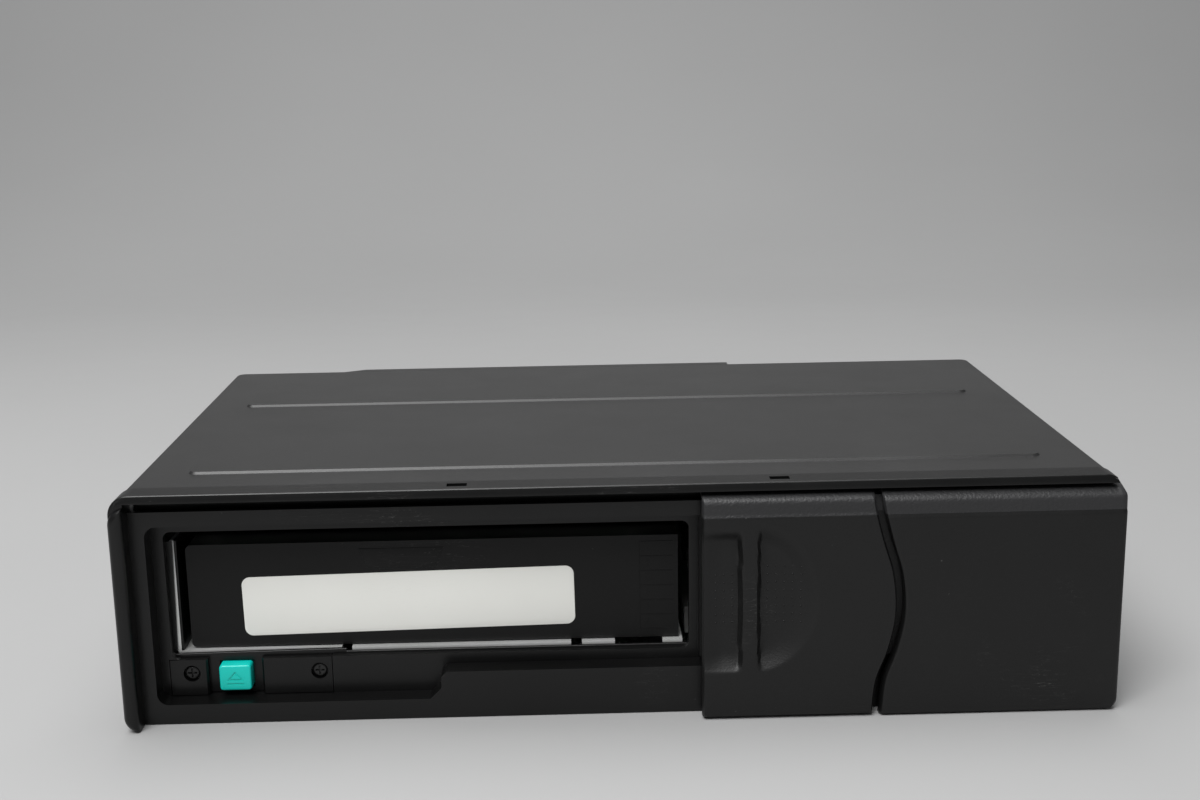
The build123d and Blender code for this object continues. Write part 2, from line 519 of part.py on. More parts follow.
with BuildPart() as right_front_panel:
    with BuildSketch(Plane.YZ.offset(WAVE[0][0])) as panel_side:
        with BuildLine():
            Polyline((back(0.8), 0), (back(0), 0.8), (back(0), CREASE_Z), (back(0.1), CREASE_Z + 0.2),
                     (back(0.3), BAND_TOP))
            ThreePointArc((back(0.3), BAND_TOP), (back(0.62), DOOR_TOP - 0.32), (back(1.3), DOOR_TOP))
            Polyline((back(1.3), DOOR_TOP), (back(FACE_D), DOOR_TOP_REAR), (back(FACE_D), DOOR_INNER_TOP),
                     (back(DOOR_T), DOOR_INNER_TOP), (back(DOOR_T), 0), (back(0.8), 0))
        make_face()
    extrude(panel_side.sketch, amount=HALF - WAVE[0][0])
    block((CHANNEL_RIGHT + RUN, HALF), (1, FACE_D), (0, DOOR_TOP))
    block((80.0, HALF), (1, FACE_D), (0, LIP_TOP))
    with BuildSketch(Plane.XZ) as panel_front:
        with BuildLine():
            Spline(*wave_points(WAVE_GAP))
            Polyline((WAVE[-1][0] + WAVE_GAP, WAVE[-1][1]), (HALF, DOOR_TOP_REAR), (HALF, 0),
                     (WAVE[0][0] + WAVE_GAP, 0))
        make_face()
        fillet(panel_front.vertices().group_by(Axis.X)[-1], PANEL_R)
    front_prism((-1, FACE_D + 1), panel_front.sketch, Mode.INTERSECT)
save(right_front_panel, "right_front_panel")

with BuildPart() as door_shutter:
    block(SHUTTER_X, SHUTTER_D, (SILL_Z, SHUTTER_TOP[1]))
    block(SHUTTER_X, (SHUTTER_D[0], SHUTTER_LIP_D[1]), SHUTTER_TOP)
    block(SHUTTER_X, SHUTTER_LIP_D, (SHUTTER_LIP_LOW, SHUTTER_TOP[1]))
save(door_shutter, "door_shutter")

# ------------------------------------------------------------ magazine cage
CAGE_X = (MAG_X[0] - 2.6 - SHEET, MAG_X[1] + 1.0)
CAGE_D = (15.6, 157.0)
CAGE_ROOF_D = 27.6
CAGE_FLOOR = MAG_Z[0] - RUN
CAGE_TOP = MAG_Z[1] + 0.9
EJECTOR_X = (-105.0, -95.0)
CAGE_NOTCHES = ((-76.1, -73.3), (-13.5, -10.5), (-1.5, 11.6))
with BuildPart() as magazine_cage:
    block(CAGE_X, CAGE_D, (CAGE_FLOOR - SHEET, CAGE_FLOOR))
    block((CAGE_X[0], CAGE_X[0] + SHEET), CAGE_D, (CAGE_FLOOR - SHEET, CAGE_TOP + SHEET))
    block((CAGE_X[0], CAGE_X[0] + SHEET), (30.0, CAGE_D[1]), (FLOOR_TOP, CAGE_FLOOR))
    block((CAGE_X[1] - SHEET, CAGE_X[1]), (30.0, CAGE_D[1]), (FLOOR_TOP, CAGE_FLOOR))
    block(CAGE_X, (CAGE_ROOF_D, CAGE_D[1]), (CAGE_TOP, CAGE_TOP + SHEET))
    block(CAGE_X, (CAGE_D[1] - SHEET, CAGE_D[1]), (CAGE_FLOOR, CAGE_TOP))
    block((-70.0, CAGE_X[1]), (CAGE_D[1] - 2 * SHEET, CAGE_D[1] + SHEET), (CAGE_FLOOR + 6, CAGE_TOP - 6), Mode.SUBTRACT)
    block((EJECTOR_X[0] - 1, EJECTOR_X[1] + 1), (MAG_D[1] - EJECT_TRAVEL - 4, CAGE_D[1] - SHEET),
          (CAGE_TOP - 1, CAGE_TOP + 2), Mode.SUBTRACT)
    # notches in the floor's front edge, where the bezel's moulding reaches in
    for notch in CAGE_NOTCHES:
        block(notch, (CAGE_D[0] - 1, CAGE_D[0] + 5), (CAGE_FLOOR - 2, CAGE_FLOOR + 1), Mode.SUBTRACT)
    for x in BOARD_POSTS_X:
        for d in BOARD_POSTS_D:
            upright(x, d, (CAGE_TOP + SHEET, BOARD_Z), 2.2)
    SPRING_TAB_D = 100.0
    block((-90.0, -86.0), (SPRING_TAB_D - SHEET, SPRING_TAB_D), (CAGE_TOP + SHEET, BOARD_Z - 0.5))
save(magazine_cage, "magazine_cage")

EJECTOR_Z = (CAGE_TOP + SHEET + RUN, CAGE_TOP + 2 * SHEET + RUN)
PUSH_D = (MAG_D[1] + 0.6, MAG_D[1] + 0.6 + 1.2)
SPRING_Z = EJECTOR_Z[1] + 0.2
EJECTOR_TAB_D = 140.0
with BuildPart() as magazine_ejector:
    block(EJECTOR_X, (110.0, PUSH_D[1]), EJECTOR_Z)
    block(EJECTOR_X, PUSH_D, (MAG_Z[0] + 12, EJECTOR_Z[1]))
    block((EJECTOR_X[1] - 1, -86.0), (EJECTOR_TAB_D, EJECTOR_TAB_D + SHEET), (EJECTOR_Z[0], SPRING_Z + 1.2))
save(magazine_ejector, "magazine_ejector")

with BuildPart() as ejector_spring:
    along_y(-88.0, (SPRING_TAB_D, EJECTOR_TAB_D), SPRING_Z, 1.2)
    along_y(-88.0, (SPRING_TAB_D, EJECTOR_TAB_D), SPRING_Z, 0.8, Mode.SUBTRACT)
save(ejector_spring, "ejector_spring")

# ------------------------------------------------------------ magazine and trays
with BuildPart() as magazine_case:
    block(MAG_X, MAG_D, MAG_Z)
    fillet(magazine_case.edges().filter_by(Axis.Y).group_by(Axis.X)[0], radius=1.6)
    block((MAG_X[0] + MAG_WALL, MAG_X[1] + 1), (MAG_D[0] + MAG_FRONT_T, MAG_D[1] - MAG_WALL),
          (MAG_Z[0] + MAG_WALL, MAG_Z[1] - MAG_WALL), Mode.SUBTRACT)
    # ledges at front and back carry each tray
    for k in range(TRAYS):
        low = TRAY_Z + k * TRAY_PITCH - RUN - 0.9
        for ledge in ((MAG_D[0] + MAG_FRONT_T, MAG_D[0] + MAG_FRONT_T + 2.6), (MAG_D[1] - MAG_WALL - 2.6, MAG_D[1] - MAG_WALL)):
            block((MAG_X[0] + MAG_WALL, MAG_X[1] - 1), ledge, (low, low + 0.9))
    block((MAG_X[0] + 30, MAG_X[1] - 30), (MAG_D[0] + 25, MAG_D[1] - 25), (MAG_Z[1] - 2 * MAG_WALL, MAG_Z[1] + 1), Mode.SUBTRACT)
save(magazine_case, "magazine_case")

with BuildPart() as magazine_label:
    front_prism((MAG_D[0] - LABEL_T, MAG_D[0]), corner_outline(LABEL_X, LABEL_Z, 2.3, 2.3, 2.3, 2.3))
save(magazine_label, "magazine_label")

TRAY_D = (MAG_D[0] + MAG_FRONT_T + 0.4, MAG_D[1] - MAG_WALL - 0.4)
for k in range(TRAYS):
    low = TRAY_Z + k * TRAY_PITCH
    with BuildPart() as disc_tray:
        block(TRAY_X, TRAY_D, (low, low + TRAY_T))
        upright(TRAY_MID_X, SPINDLE_D, (low + 1.0, low + TRAY_T + 1), DISC_R + 0.8, Mode.SUBTRACT)
        upright(TRAY_MID_X, SPINDLE_D, (low - 1, low + TRAY_T), 20.0, Mode.SUBTRACT)
        block((TRAY_MID_X - 13, TRAY_MID_X + 13), (SPINDLE_D, SPINDLE_D + DISC_R - 3), (low - 1, low + TRAY_T),
              Mode.SUBTRACT)
        upright(TRAY_X[1], SPINDLE_D, (low - 1, low + TRAY_T + 1), 9.0, Mode.SUBTRACT)
    save(disc_tray, f"disc_tray_{k + 1}")

# ------------------------------------------------------------ mechanism frame
BRACKET_Z = (6.2, 7.2)
GEAR_X = RACK_X - GEAR_TEETH / 2 - MESH_GAP
PINION_ANGLE = 240.0
PINION_REACH = (GEAR_TEETH + PINION_TEETH) / 2 + MESH_GAP
PINION_X = GEAR_X + PINION_REACH * cos(radians(PINION_ANGLE))
PINION_D = GEAR_D + PINION_REACH * sin(radians(PINION_ANGLE))
ARM_X = (SPINDLE_X - 7.5, SPINDLE_X + 7.5)
EAR_GAP = 1.6
DAMPERS = ((23.0, 28.0), (23.0, 140.0), (119.0, 145.0), (72.0, 145.0))
with BuildPart() as mech_frame:
    block((FRAME_X[1] - SHEET, FRAME_X[1]), FRAME_D, FRAME_Z)
    block(FRAME_X, (FRAME_D[1] - SHEET, FRAME_D[1]), FRAME_Z)
    block(FRAME_X, (FRAME_D[1] - 22, FRAME_D[1]), (FRAME_Z[0], FRAME_Z[0] + SHEET))
    block((FRAME_X[0], FRAME_X[0] + 15), FRAME_D, (FRAME_Z[0], FRAME_Z[0] + SHEET))
    block(FRAME_X, (FRAME_D[1] - 22, FRAME_D[1]), (FRAME_Z[1] - SHEET, FRAME_Z[1]))
    block((FRAME_X[0], FRAME_X[0] + 15), FRAME_D, (FRAME_Z[1] - SHEET, FRAME_Z[1]))
    block(FRAME_X, (FRAME_D[0], FRAME_D[0] + 10), (FRAME_Z[1] - SHEET, FRAME_Z[1]))
    for x in (ARM_X[0] - EAR_GAP - SHEET, ARM_X[1] + EAR_GAP):
        block((x, x + SHEET), (CLAMP_PIN[0] - 4, CLAMP_PIN[0] + 4), (CLAMP_PIN[1] - 3, FRAME_Z[1]))
        along_x((x - 1, x + 2 * SHEET), CLAMP_PIN[0], CLAMP_PIN[1], 1.5 + FIT, Mode.SUBTRACT)
    # bracket of the lift motor, with its leg to the floor
    block((PINION_X - 10, PINION_X + 10), (PINION_D - 10, PINION_D + 8), BRACKET_Z)
    block((PINION_X - 10, PINION_X + 10), (PINION_D - 10, PINION_D - 9), (FRAME_Z[0], BRACKET_Z[1]))
    block((FRAME_X[0], PINION_X + 10), (PINION_D - 10, PINION_D - 6), (FRAME_Z[0], FRAME_Z[0] + SHEET))
    upright(PINION_X, PINION_D, (BRACKET_Z[0] - 1, BRACKET_Z[1] + 1), 2.0, Mode.SUBTRACT)
    for x, d in DAMPERS:
        upright(x, d, (FRAME_Z[0] - 1, FRAME_Z[0] + 2 * SHEET), 2.6, Mode.SUBTRACT)
save(mech_frame, "mech_frame")

with BuildPart() as damper_mounts:
    for x, d in DAMPERS:
        upright(x, d, (FLOOR_TOP, FRAME_Z[0]), 4.0)
        upright(x, d, (FRAME_Z[0], FRAME_Z[0] + SHEET), 2.55)
        upright(x, d, (FRAME_Z[0] + SHEET, FRAME_Z[0] + SHEET + 1.2), 4.0)
save(damper_mounts, "damper_mounts")

with BuildPart() as lift_guide_posts:
    for x, d in POSTS:
        upright(x, d, (FRAME_Z[0] + SHEET, FRAME_Z[1] - SHEET), POST_R)
save(lift_guide_posts, "lift_guide_posts")

# ------------------------------------------------------------ elevator
PLUG_X = (DECK_X[0] + 1.6, DECK_X[1] - 1.6)
LOAD_Z = AXLE_Z - 0.4
PINION_SMALL_D = LOAD_SCREW_D + MODULE_SMALL * SMALL_TEETH + MESH_GAP
with BuildPart() as elevator_base:
    block(DECK_X, DECK_D, DECK_Z)
    for x, d in POSTS:
        block((x - 2.9, x + 2.9), sorted((d, max(min(d, DECK_D[1] - 5), DECK_D[0] + 5))), DECK_Z)
    for x, d in POSTS:
        upright(x, d, (DECK_Z[0] - 1, DECK_Z[1] + 1), 2.4, Mode.SUBTRACT)
    upright(SPINDLE_X, SPINDLE_D, (DECK_Z[0] - 1, DECK_Z[1] + 1), 5.0, Mode.SUBTRACT)
    block((SPINDLE_X - 11, SPINDLE_X + 11), (SLED_D[0] + 1, SLED_D[1] + SLED_TRAVEL - 2), (DECK_Z[0] - 1, DECK_Z[1] + 1),
          Mode.SUBTRACT)
    # end plates of the loading screw and rod
    for x in (DECK_X[0], DECK_X[1] - 1.5):
        block((x, x + 1.5), (DECK_D[0], LOAD_SCREW_D + 3.2), (DECK_Z[1], 17.0))
    along_x((DECK_X[0] - 1, DECK_X[1] + 1), LOAD_SCREW_D, LOAD_Z, SCREW_R + FIT, Mode.SUBTRACT)
    along_x((DECK_X[0] - 1, DECK_X[1] + 1), LOAD_ROD_D, LOAD_Z, ROD_R, Mode.SUBTRACT)
    block((PLUG_X[1] - 9.5, PLUG_X[1] - 8), (PINION_SMALL_D - 3, PINION_SMALL_D + 3), (DECK_Z[1], AXLE_Z + 3))
    along_x((PLUG_X[1] - 10, PLUG_X[1]), PINION_SMALL_D, LOAD_Z, 0.9, Mode.SUBTRACT)
    # carriers of the sled's rods and screw
    for d in (SLED_D[0] - 7, SLED_D[1] + SLED_TRAVEL + 1):
        for x in (SPINDLE_X - SLED_RODS, SPINDLE_X + SLED_RODS, SLED_SCREW_X):
            if d > SLED_D[0] or x < SLED_SCREW_X:
                block((x - 2.6, x + 2.6), (d, d + 1.5), (DECK_Z[1], AXLE_Z + 2.6))
    for x in (SPINDLE_X - SLED_RODS, SPINDLE_X + SLED_RODS):
        along_y(x, (SLED_D[0] - 10, DECK_D[1] + 1), AXLE_Z, ROD_R, Mode.SUBTRACT)
    along_y(SLED_SCREW_X, (SLED_D[1] + SLED_TRAVEL, DECK_D[1] + 1), AXLE_Z, SCREW_R + FIT, Mode.SUBTRACT)
    # pins that ride in the cam plate's slanting slots
    for d in CAM_PINS:
        block((DECK_X[1] - 1.5, DECK_X[1]), (d - 3, d + 3), (DECK_Z[1], DECK_Z[1] + 4.5))
        along_x((DECK_X[1], CAM_X[1] + 0.2), d, DECK_Z[1] + 2.4, CAM_PIN_R)
save(elevator_base, "elevator_base")

with BuildPart() as elevator_bushes:
    for x, d in POSTS:
        upright(x, d, (DECK_Z[0] - 3, DECK_Z[0]), BUSH_R)
        upright(x, d, DECK_Z, 2.4)
        upright(x, d, (DECK_Z[1], DECK_Z[1] + 4), BUSH_R)
        upright(x, d, (DECK_Z[0] - 4, DECK_Z[1] + 5), POST_R + FIT, Mode.SUBTRACT)
save(elevator_bushes, "elevator_bushes")

with BuildPart() as spindle_motor:
    upright(SPINDLE_X, SPINDLE_D, (FRAME_Z[0] + 1.6, DECK_Z[0]), 11.0)
    upright(SPINDLE_X, SPINDLE_D, (DECK_Z[0], DECK_Z[1] + 0.6), 4.8)
    upright(SPINDLE_X, SPINDLE_D, (FRAME_Z[0] + 2.6, DECK_Z[1] + 1), 1.0 + FIT, Mode.SUBTRACT)
save(spindle_motor, "spindle_motor")

TABLE_Z = 14.2
with BuildPart() as turntable:
    upright(SPINDLE_X, SPINDLE_D, (12.2, TABLE_Z), 14.5)
    with BuildSketch(Plane.XY.offset(TABLE_Z)) as hub:
        with Locations((SPINDLE_X, back(SPINDLE_D))):
            Circle(7.4)
    extrude(hub.sketch, amount=1.7, taper=20)
    upright(SPINDLE_X, SPINDLE_D, (FRAME_Z[0] + 2.8, 12.2), 1.0)
    upright(SPINDLE_X, SPINDLE_D, (TABLE_Z - 0.6, TABLE_Z), 14.51, Mode.SUBTRACT)
    upright(SPINDLE_X, SPINDLE_D, (TABLE_Z - 0.6, TABLE_Z + 0.01), 13.9)
save(turntable, "turntable")

with BuildPart() as sled_guide_rods:
    for x in (SPINDLE_X - SLED_RODS, SPINDLE_X + SLED_RODS):
        along_y(x, (SLED_D[0] - 7, SLED_D[1] + SLED_TRAVEL + 2.5), AXLE_Z, ROD_R)
save(sled_guide_rods, "sled_guide_rods")

with BuildPart() as pickup_sled:
    block((SPINDLE_X - SLED_RODS - 3, SLED_SCREW_X + 3), SLED_D, (DECK_Z[1] + 0.5, AXLE_Z + 2.4))
    block((SPINDLE_X - 11, SPINDLE_X + 11), (SLED_D[0] - 1, SLED_D[1] + 1), (AXLE_Z + 0.4, AXLE_Z + 5), Mode.SUBTRACT)
    block((SPINDLE_X - 5, SPINDLE_X + 5), (SLED_D[0] + 3, SLED_D[1] - 1), (AXLE_Z - 1, AXLE_Z + 1.2))
    for x in (SPINDLE_X - SLED_RODS, SPINDLE_X + SLED_RODS):
        along_y(x, (SLED_D[0] - 1, SLED_D[1] + 1), AXLE_Z, ROD_R + FIT, Mode.SUBTRACT)
    along_y(SLED_SCREW_X, (SLED_D[0] - 1, SLED_D[1] + 1), AXLE_Z, SCREW_R + FIT, Mode.SUBTRACT)
    LENS_D = SPINDLE_D + 24.0
    upright(SPINDLE_X, LENS_D, (AXLE_Z, AXLE_Z + 2), 2.2, Mode.SUBTRACT)
save(pickup_sled, "pickup_sled")

with BuildPart() as pickup_lens:
    upright(SPINDLE_X, LENS_D, (AXLE_Z, AXLE_Z + 1.6), 2.2)
    fillet(pickup_lens.edges().sort_by(Axis.Z)[-1], radius=0.8)
save(pickup_lens, "pickup_lens")

MOTOR_FRONT = SLED_D[0] - 28.0
with BuildPart() as sled_motor:
    along_y(SLED_SCREW_X, (MOTOR_FRONT, MOTOR_FRONT + 16), AXLE_Z, 3.6)
    along_y(SLED_SCREW_X, (MOTOR_FRONT + 10, MOTOR_FRONT + 17), AXLE_Z, SCREW_R + FIT, Mode.SUBTRACT)
    block((SLED_SCREW_X - 3, SLED_SCREW_X + 3), (MOTOR_FRONT + 2, MOTOR_FRONT + 14), (DECK_Z[1], AXLE_Z - 3))
save(sled_motor, "sled_motor")

with BuildPart() as sled_screw:
    along_y(SLED_SCREW_X, (MOTOR_FRONT + 10.5, SLED_D[1] + SLED_TRAVEL + 2.5), AXLE_Z, SCREW_R)
save(sled_screw, "sled_screw")

with BuildPart() as loading_rod:
    along_x((DECK_X[0], DECK_X[1]), LOAD_ROD_D, LOAD_Z, ROD_R)
save(loading_rod, "loading_rod")

HOOK_BLOCK = 6.0
LOAD_START = PLUG_X[0] + 0.5
with BuildPart() as loading_carriage:
    block((LOAD_START, LOAD_START + HOOK_BLOCK), (LOAD_ROD_D - 2.6, LOAD_SCREW_D + 2.6), (DECK_Z[1] + 0.5, LOAD_Z + 2.6))
    block((LOAD_START, LOAD_START + 2), (LOAD_ROD_D, LOAD_ROD_D + 4), (LOAD_Z + 2.6, TRAY_Z - 1.2))
    along_x((LOAD_START - 1, LOAD_START + HOOK_BLOCK + 1), LOAD_ROD_D, LOAD_Z, ROD_R + FIT, Mode.SUBTRACT)
    along_x((LOAD_START - 1, LOAD_START + HOOK_BLOCK + 1), LOAD_SCREW_D, LOAD_Z, SCREW_R + FIT, Mode.SUBTRACT)
save(loading_carriage, "loading_carriage")

SMALL_GEAR_X = (DECK_X[1] + 0.3, CAM_X[0] - 0.5)


def small_gear(d, turned):
    """A thin spur gear outside the deck's right end plate."""
    with BuildSketch(Plane.YZ.offset(SMALL_GEAR_X[0])) as outline:
        with Locations((back(d), LOAD_Z)):
            with BuildLine():
                Polyline(*[(back(d) + y, LOAD_Z + z) for y, z in gear_outline(MODULE_SMALL, SMALL_TEETH, turned)],
                         close=True)
            make_face()
    extrude(outline.sketch, amount=SMALL_GEAR_X[1] - SMALL_GEAR_X[0])


with BuildPart() as loading_screw:
    along_x((DECK_X[0], SMALL_GEAR_X[1]), LOAD_SCREW_D, LOAD_Z, SCREW_R)
    small_gear(LOAD_SCREW_D, 0)
save(loading_screw, "loading_screw")

with BuildPart() as loading_pinion:
    along_x((PLUG_X[1] - 14, SMALL_GEAR_X[1]), PINION_SMALL_D, LOAD_Z, 0.8)
    small_gear(PINION_SMALL_D, 180 / SMALL_TEETH)
save(loading_pinion, "loading_pinion")

with BuildPart() as loading_motor:
    along_x((PLUG_X[1] - 26, PLUG_X[1] - 9.5), PINION_SMALL_D, LOAD_Z, 3.2)
    along_x((PLUG_X[1] - 15, PLUG_X[1] - 9), PINION_SMALL_D, LOAD_Z, 0.8 + FIT, Mode.SUBTRACT)
save(loading_motor, "loading_motor")

# ------------------------------------------------------------ clamp
with BuildPart() as clamp_arm:
    block(ARM_X, (SPINDLE_D - 8, CLAMP_PIN[0]), CLAMP_Z)
    fillet(clamp_arm.edges().filter_by(Axis.Z).group_by(Axis.Y)[0], radius=6.0)
    block(ARM_X, (CLAMP_PIN[0] - 2.9, CLAMP_PIN[0] + 2.9), (CLAMP_Z[0], CLAMP_PIN[1]))
    along_x((ARM_X[0] - EAR_GAP + RUN, ARM_X[1] + EAR_GAP - RUN), CLAMP_PIN[0], CLAMP_PIN[1], 2.9)
    along_x((ARM_X[0] - 5, ARM_X[1] + 5), CLAMP_PIN[0], CLAMP_PIN[1], 1.5 + FIT, Mode.SUBTRACT)
    upright(SPINDLE_X, SPINDLE_D, (CLAMP_Z[0] - 1, CLAMP_Z[1] + 1), 2.0 + FIT, Mode.SUBTRACT)
save(clamp_arm, "clamp_arm")

with BuildPart() as clamp_arm_pin:
    along_x((ARM_X[0] - EAR_GAP - SHEET - 0.5, ARM_X[1] + EAR_GAP + SHEET + 0.5), CLAMP_PIN[0], CLAMP_PIN[1], 1.5)
save(clamp_arm_pin, "clamp_arm_pin")

with BuildPart() as clamper:
    upright(SPINDLE_X, SPINDLE_D, (CLAMPER_LOW, CLAMPER_LOW + 2.6), 15.0)
    upright(SPINDLE_X, SPINDLE_D, (CLAMPER_LOW - 1, CLAMPER_LOW + 1.6), 9.6, Mode.SUBTRACT)
    upright(SPINDLE_X, SPINDLE_D, (CLAMPER_LOW + 2.6, CLAMP_Z[1] + 0.4), 2.0)
    upright(SPINDLE_X, SPINDLE_D, (CLAMP_Z[1] + 0.3, CLAMP_Z[1] + 1.4), 3.6)
save(clamper, "clamper")

# ------------------------------------------------------------ lift drive
PIN_Z = DECK_Z[1] + 2.4
with BuildPart() as lift_cam_plate:
    block(CAM_X, (CAM_PINS[0] - 6, CAM_PINS[1] + CAM_TRAVEL + 6), CAM_Z)
    for d in CAM_PINS:
        with BuildSketch(Plane.YZ.offset(CAM_X[0])) as cam_slot:
            with Locations(Location((back(d + CAM_TRAVEL / 2), PIN_Z + LIFT / 2), degrees(atan2(LIFT, CAM_TRAVEL)))):
                SlotCenterToCenter(hypot(LIFT, CAM_TRAVEL), 2 * (CAM_PIN_R + 0.2))
        extrude(cam_slot.sketch, amount=CAM_X[1] - CAM_X[0], mode=Mode.SUBTRACT)
    # foot with the rack
    with BuildSketch(Plane.XY.offset(GEAR_Z[0])) as rack:
        flank = tan(radians(20))
        half_tooth = pi / 4 - 0.04
        with BuildLine():
            points = []
            for k in range(RACK_TEETH):
                mid = GEAR_D + (k + RACK_STARTS + 0.5) * pi
                points += [(RACK_X + 1.2, back(mid - half_tooth - 1.2 * flank)), (RACK_X - 0.9, back(mid - half_tooth + 0.9 * flank)),
                           (RACK_X - 0.9, back(mid + half_tooth - 0.9 * flank)), (RACK_X + 1.2, back(mid + half_tooth + 1.2 * flank))]
            last = points[-1][1]
            Polyline(*points, (CAM_X[1], last), (CAM_X[1], points[0][1]), close=True)
        make_face()
    extrude(rack.sketch, amount=GEAR_Z[1] - GEAR_Z[0])
    block(CAM_X, (GEAR_D + (RACK_STARTS + 1) * pi, CAM_PINS[0]), (GEAR_Z[0], GEAR_Z[1] + 4))
save(lift_cam_plate, "lift_cam_plate")

with BuildPart() as lift_gear:
    with BuildSketch(Plane.XY.offset(GEAR_Z[0])) as gear_face:
        with BuildLine():
            Polyline(*[(GEAR_X + x, back(GEAR_D) + y) for x, y in gear_outline(1.0, GEAR_TEETH, 0)], close=True)
        make_face()
    extrude(gear_face.sketch, amount=GEAR_Z[1] - GEAR_Z[0])
    upright(GEAR_X, GEAR_D, (FLOOR_TOP + 0.5, BRACKET_Z[1]), 3.0)
    upright(GEAR_X, GEAR_D, (0, 10), 1.5 + FIT, Mode.SUBTRACT)
save(lift_gear, "lift_gear")

with BuildPart() as lift_gear_axle:
    upright(GEAR_X, GEAR_D, (FLOOR_TOP, BRACKET_Z[1] + 0.8), 1.5)
save(lift_gear_axle, "lift_gear_axle")

with BuildPart() as lift_pinion:
    with BuildSketch(Plane.XY.offset(GEAR_Z[0])) as pinion_face:
        with BuildLine():
            Polyline(*[(PINION_X + x, back(PINION_D) + y)
                       for x, y in gear_outline(1.0, PINION_TEETH, PINION_ANGLE - 180 + 180 / PINION_TEETH)], close=True)
        make_face()
    extrude(pinion_face.sketch, amount=GEAR_Z[1] - GEAR_Z[0])
    upright(PINION_X, PINION_D, (GEAR_Z[1], BRACKET_Z[1] + 4), 1.0)
save(lift_pinion, "lift_pinion")

with BuildPart() as lift_motor:
    upright(PINION_X, PINION_D, (BRACKET_Z[1], TRAY_Z - 1.2), 7.6)
    upright(PINION_X, PINION_D, (BRACKET_Z[1] - 1, BRACKET_Z[1] + 4.5), 1.0 + FIT, Mode.SUBTRACT)
save(lift_motor, "lift_motor")

# ------------------------------------------------------------ electronics
with BuildPart() as main_circuit_board:
    block(BOARD_X, BOARD_D, (BOARD_Z, BOARD_Z + BOARD_T))
save(main_circuit_board, "main_circuit_board")

BOARD_TOP = BOARD_Z + BOARD_T
with BuildPart() as board_components:
    for x, d, wide, deep, high in CHIPS:
        block((x - wide / 2, x + wide / 2), (d - deep / 2, d + deep / 2), (BOARD_TOP, BOARD_TOP + high))
    for x, d, radius, high in CANS:
        upright(x, d, (BOARD_TOP, BOARD_TOP + high), radius)
save(board_components, "board_components")

with BuildPart() as rear_socket:
    block((SOCKET_X[0] + 0.2, SOCKET_X[1] - 0.2), (CHASSIS_REAR - 1.2, BODY_DEPTH + TAIL), (SOCKET_Z[0] + 0.2, SOCKET_Z[1] - 0.2))
    block((SOCKET_X[0] + 2, SOCKET_X[1] - 2), (CHASSIS_REAR, BODY_DEPTH + TAIL + 1), (SOCKET_Z[0] + 2, SOCKET_Z[1] - 2),
          Mode.SUBTRACT)
    SOCKET_MID_Z = sum(SOCKET_Z) / 2
    for k in range(SOCKET_PINS):
        x = SOCKET_X[0] + 5 + k * (SOCKET_X[1] - SOCKET_X[0] - 10) / (SOCKET_PINS - 1)
        for z in (SOCKET_MID_Z - 2, SOCKET_MID_Z + 2):
            along_y(x, (CHASSIS_REAR - 0.5, BODY_DEPTH + TAIL - 1), z, 0.5)
save(rear_socket, "rear_socket")

with BuildPart() as ribbon_cable:
    with BuildSketch(Plane.XZ.offset(-back(122.0))) as ribbon:
        with BuildLine():
            FilletPolyline((-2.0, BOARD_TOP + 0.2), (14.5, BOARD_TOP + 0.2), (14.5, FRAME_Z[1] + 0.4), (30.0, FRAME_Z[1] + 0.4), radius=2.0)
        trace(line_width=0.3)
    extrude(ribbon.sketch, amount=12)
save(ribbon_cable, "ribbon_cable")
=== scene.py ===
import json
from math import cos, pi, radians, sin, sqrt

import bmesh
import bpy
from mathutils import Matrix, Vector


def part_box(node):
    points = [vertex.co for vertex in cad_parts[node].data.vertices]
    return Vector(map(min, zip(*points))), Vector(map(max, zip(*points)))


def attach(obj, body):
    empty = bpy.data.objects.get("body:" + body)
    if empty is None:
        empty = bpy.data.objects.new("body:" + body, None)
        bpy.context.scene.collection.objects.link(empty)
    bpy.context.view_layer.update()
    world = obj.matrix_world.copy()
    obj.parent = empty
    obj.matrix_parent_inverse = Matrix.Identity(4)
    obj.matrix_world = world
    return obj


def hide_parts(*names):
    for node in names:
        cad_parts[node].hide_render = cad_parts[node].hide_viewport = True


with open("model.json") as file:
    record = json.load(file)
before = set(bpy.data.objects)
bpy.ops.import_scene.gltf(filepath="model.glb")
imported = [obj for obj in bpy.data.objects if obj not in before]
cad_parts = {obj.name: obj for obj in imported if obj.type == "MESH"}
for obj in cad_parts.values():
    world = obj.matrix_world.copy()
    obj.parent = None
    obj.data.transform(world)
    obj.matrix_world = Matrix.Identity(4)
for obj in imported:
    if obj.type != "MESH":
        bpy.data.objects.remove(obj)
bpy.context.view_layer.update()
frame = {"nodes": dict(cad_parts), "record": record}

# Lengths below are millimetres: x to the right, d behind the flat front face, z up.
MM = 0.001
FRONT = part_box("front_bezel")[0].y

DOOR_LEFT = 21.3
DOOR_LOW = 0.4
LEAF_T = 3.7
LEAF_TOP = 61.3
LEAF_RIM_Z = 60.7  # above this the leaf reaches back to FACE_D
LOW_ROLL = 0.8
LEFT_ROLL = 0.7
RIGHT_ROLL = 0.6
CREASE_Z = 56.0  # low edge of the grained band
CREASE_STEP = 0.35
BAND_LEAN = 0.6
TOP_ROLL = 2.0
BAND_TOP = 60.1
TOP_RISE = 1.0
FACE_D = 6.0
HOOK_D = (8.8, 9.9)
HOOK_LOW = 57.8
PANEL_RIGHT = 132.5
PANEL_CORNER = 3.0
PANEL_TOP = 62.3
PANEL_EAR = 80.0  # the panel's left part, which follows the wave, ends here
PANEL_END = 129.5  # the panel's right end, which is carried back, starts here
PANEL_SILL = 13.0  # the panel's low part, which is carried back, ends here
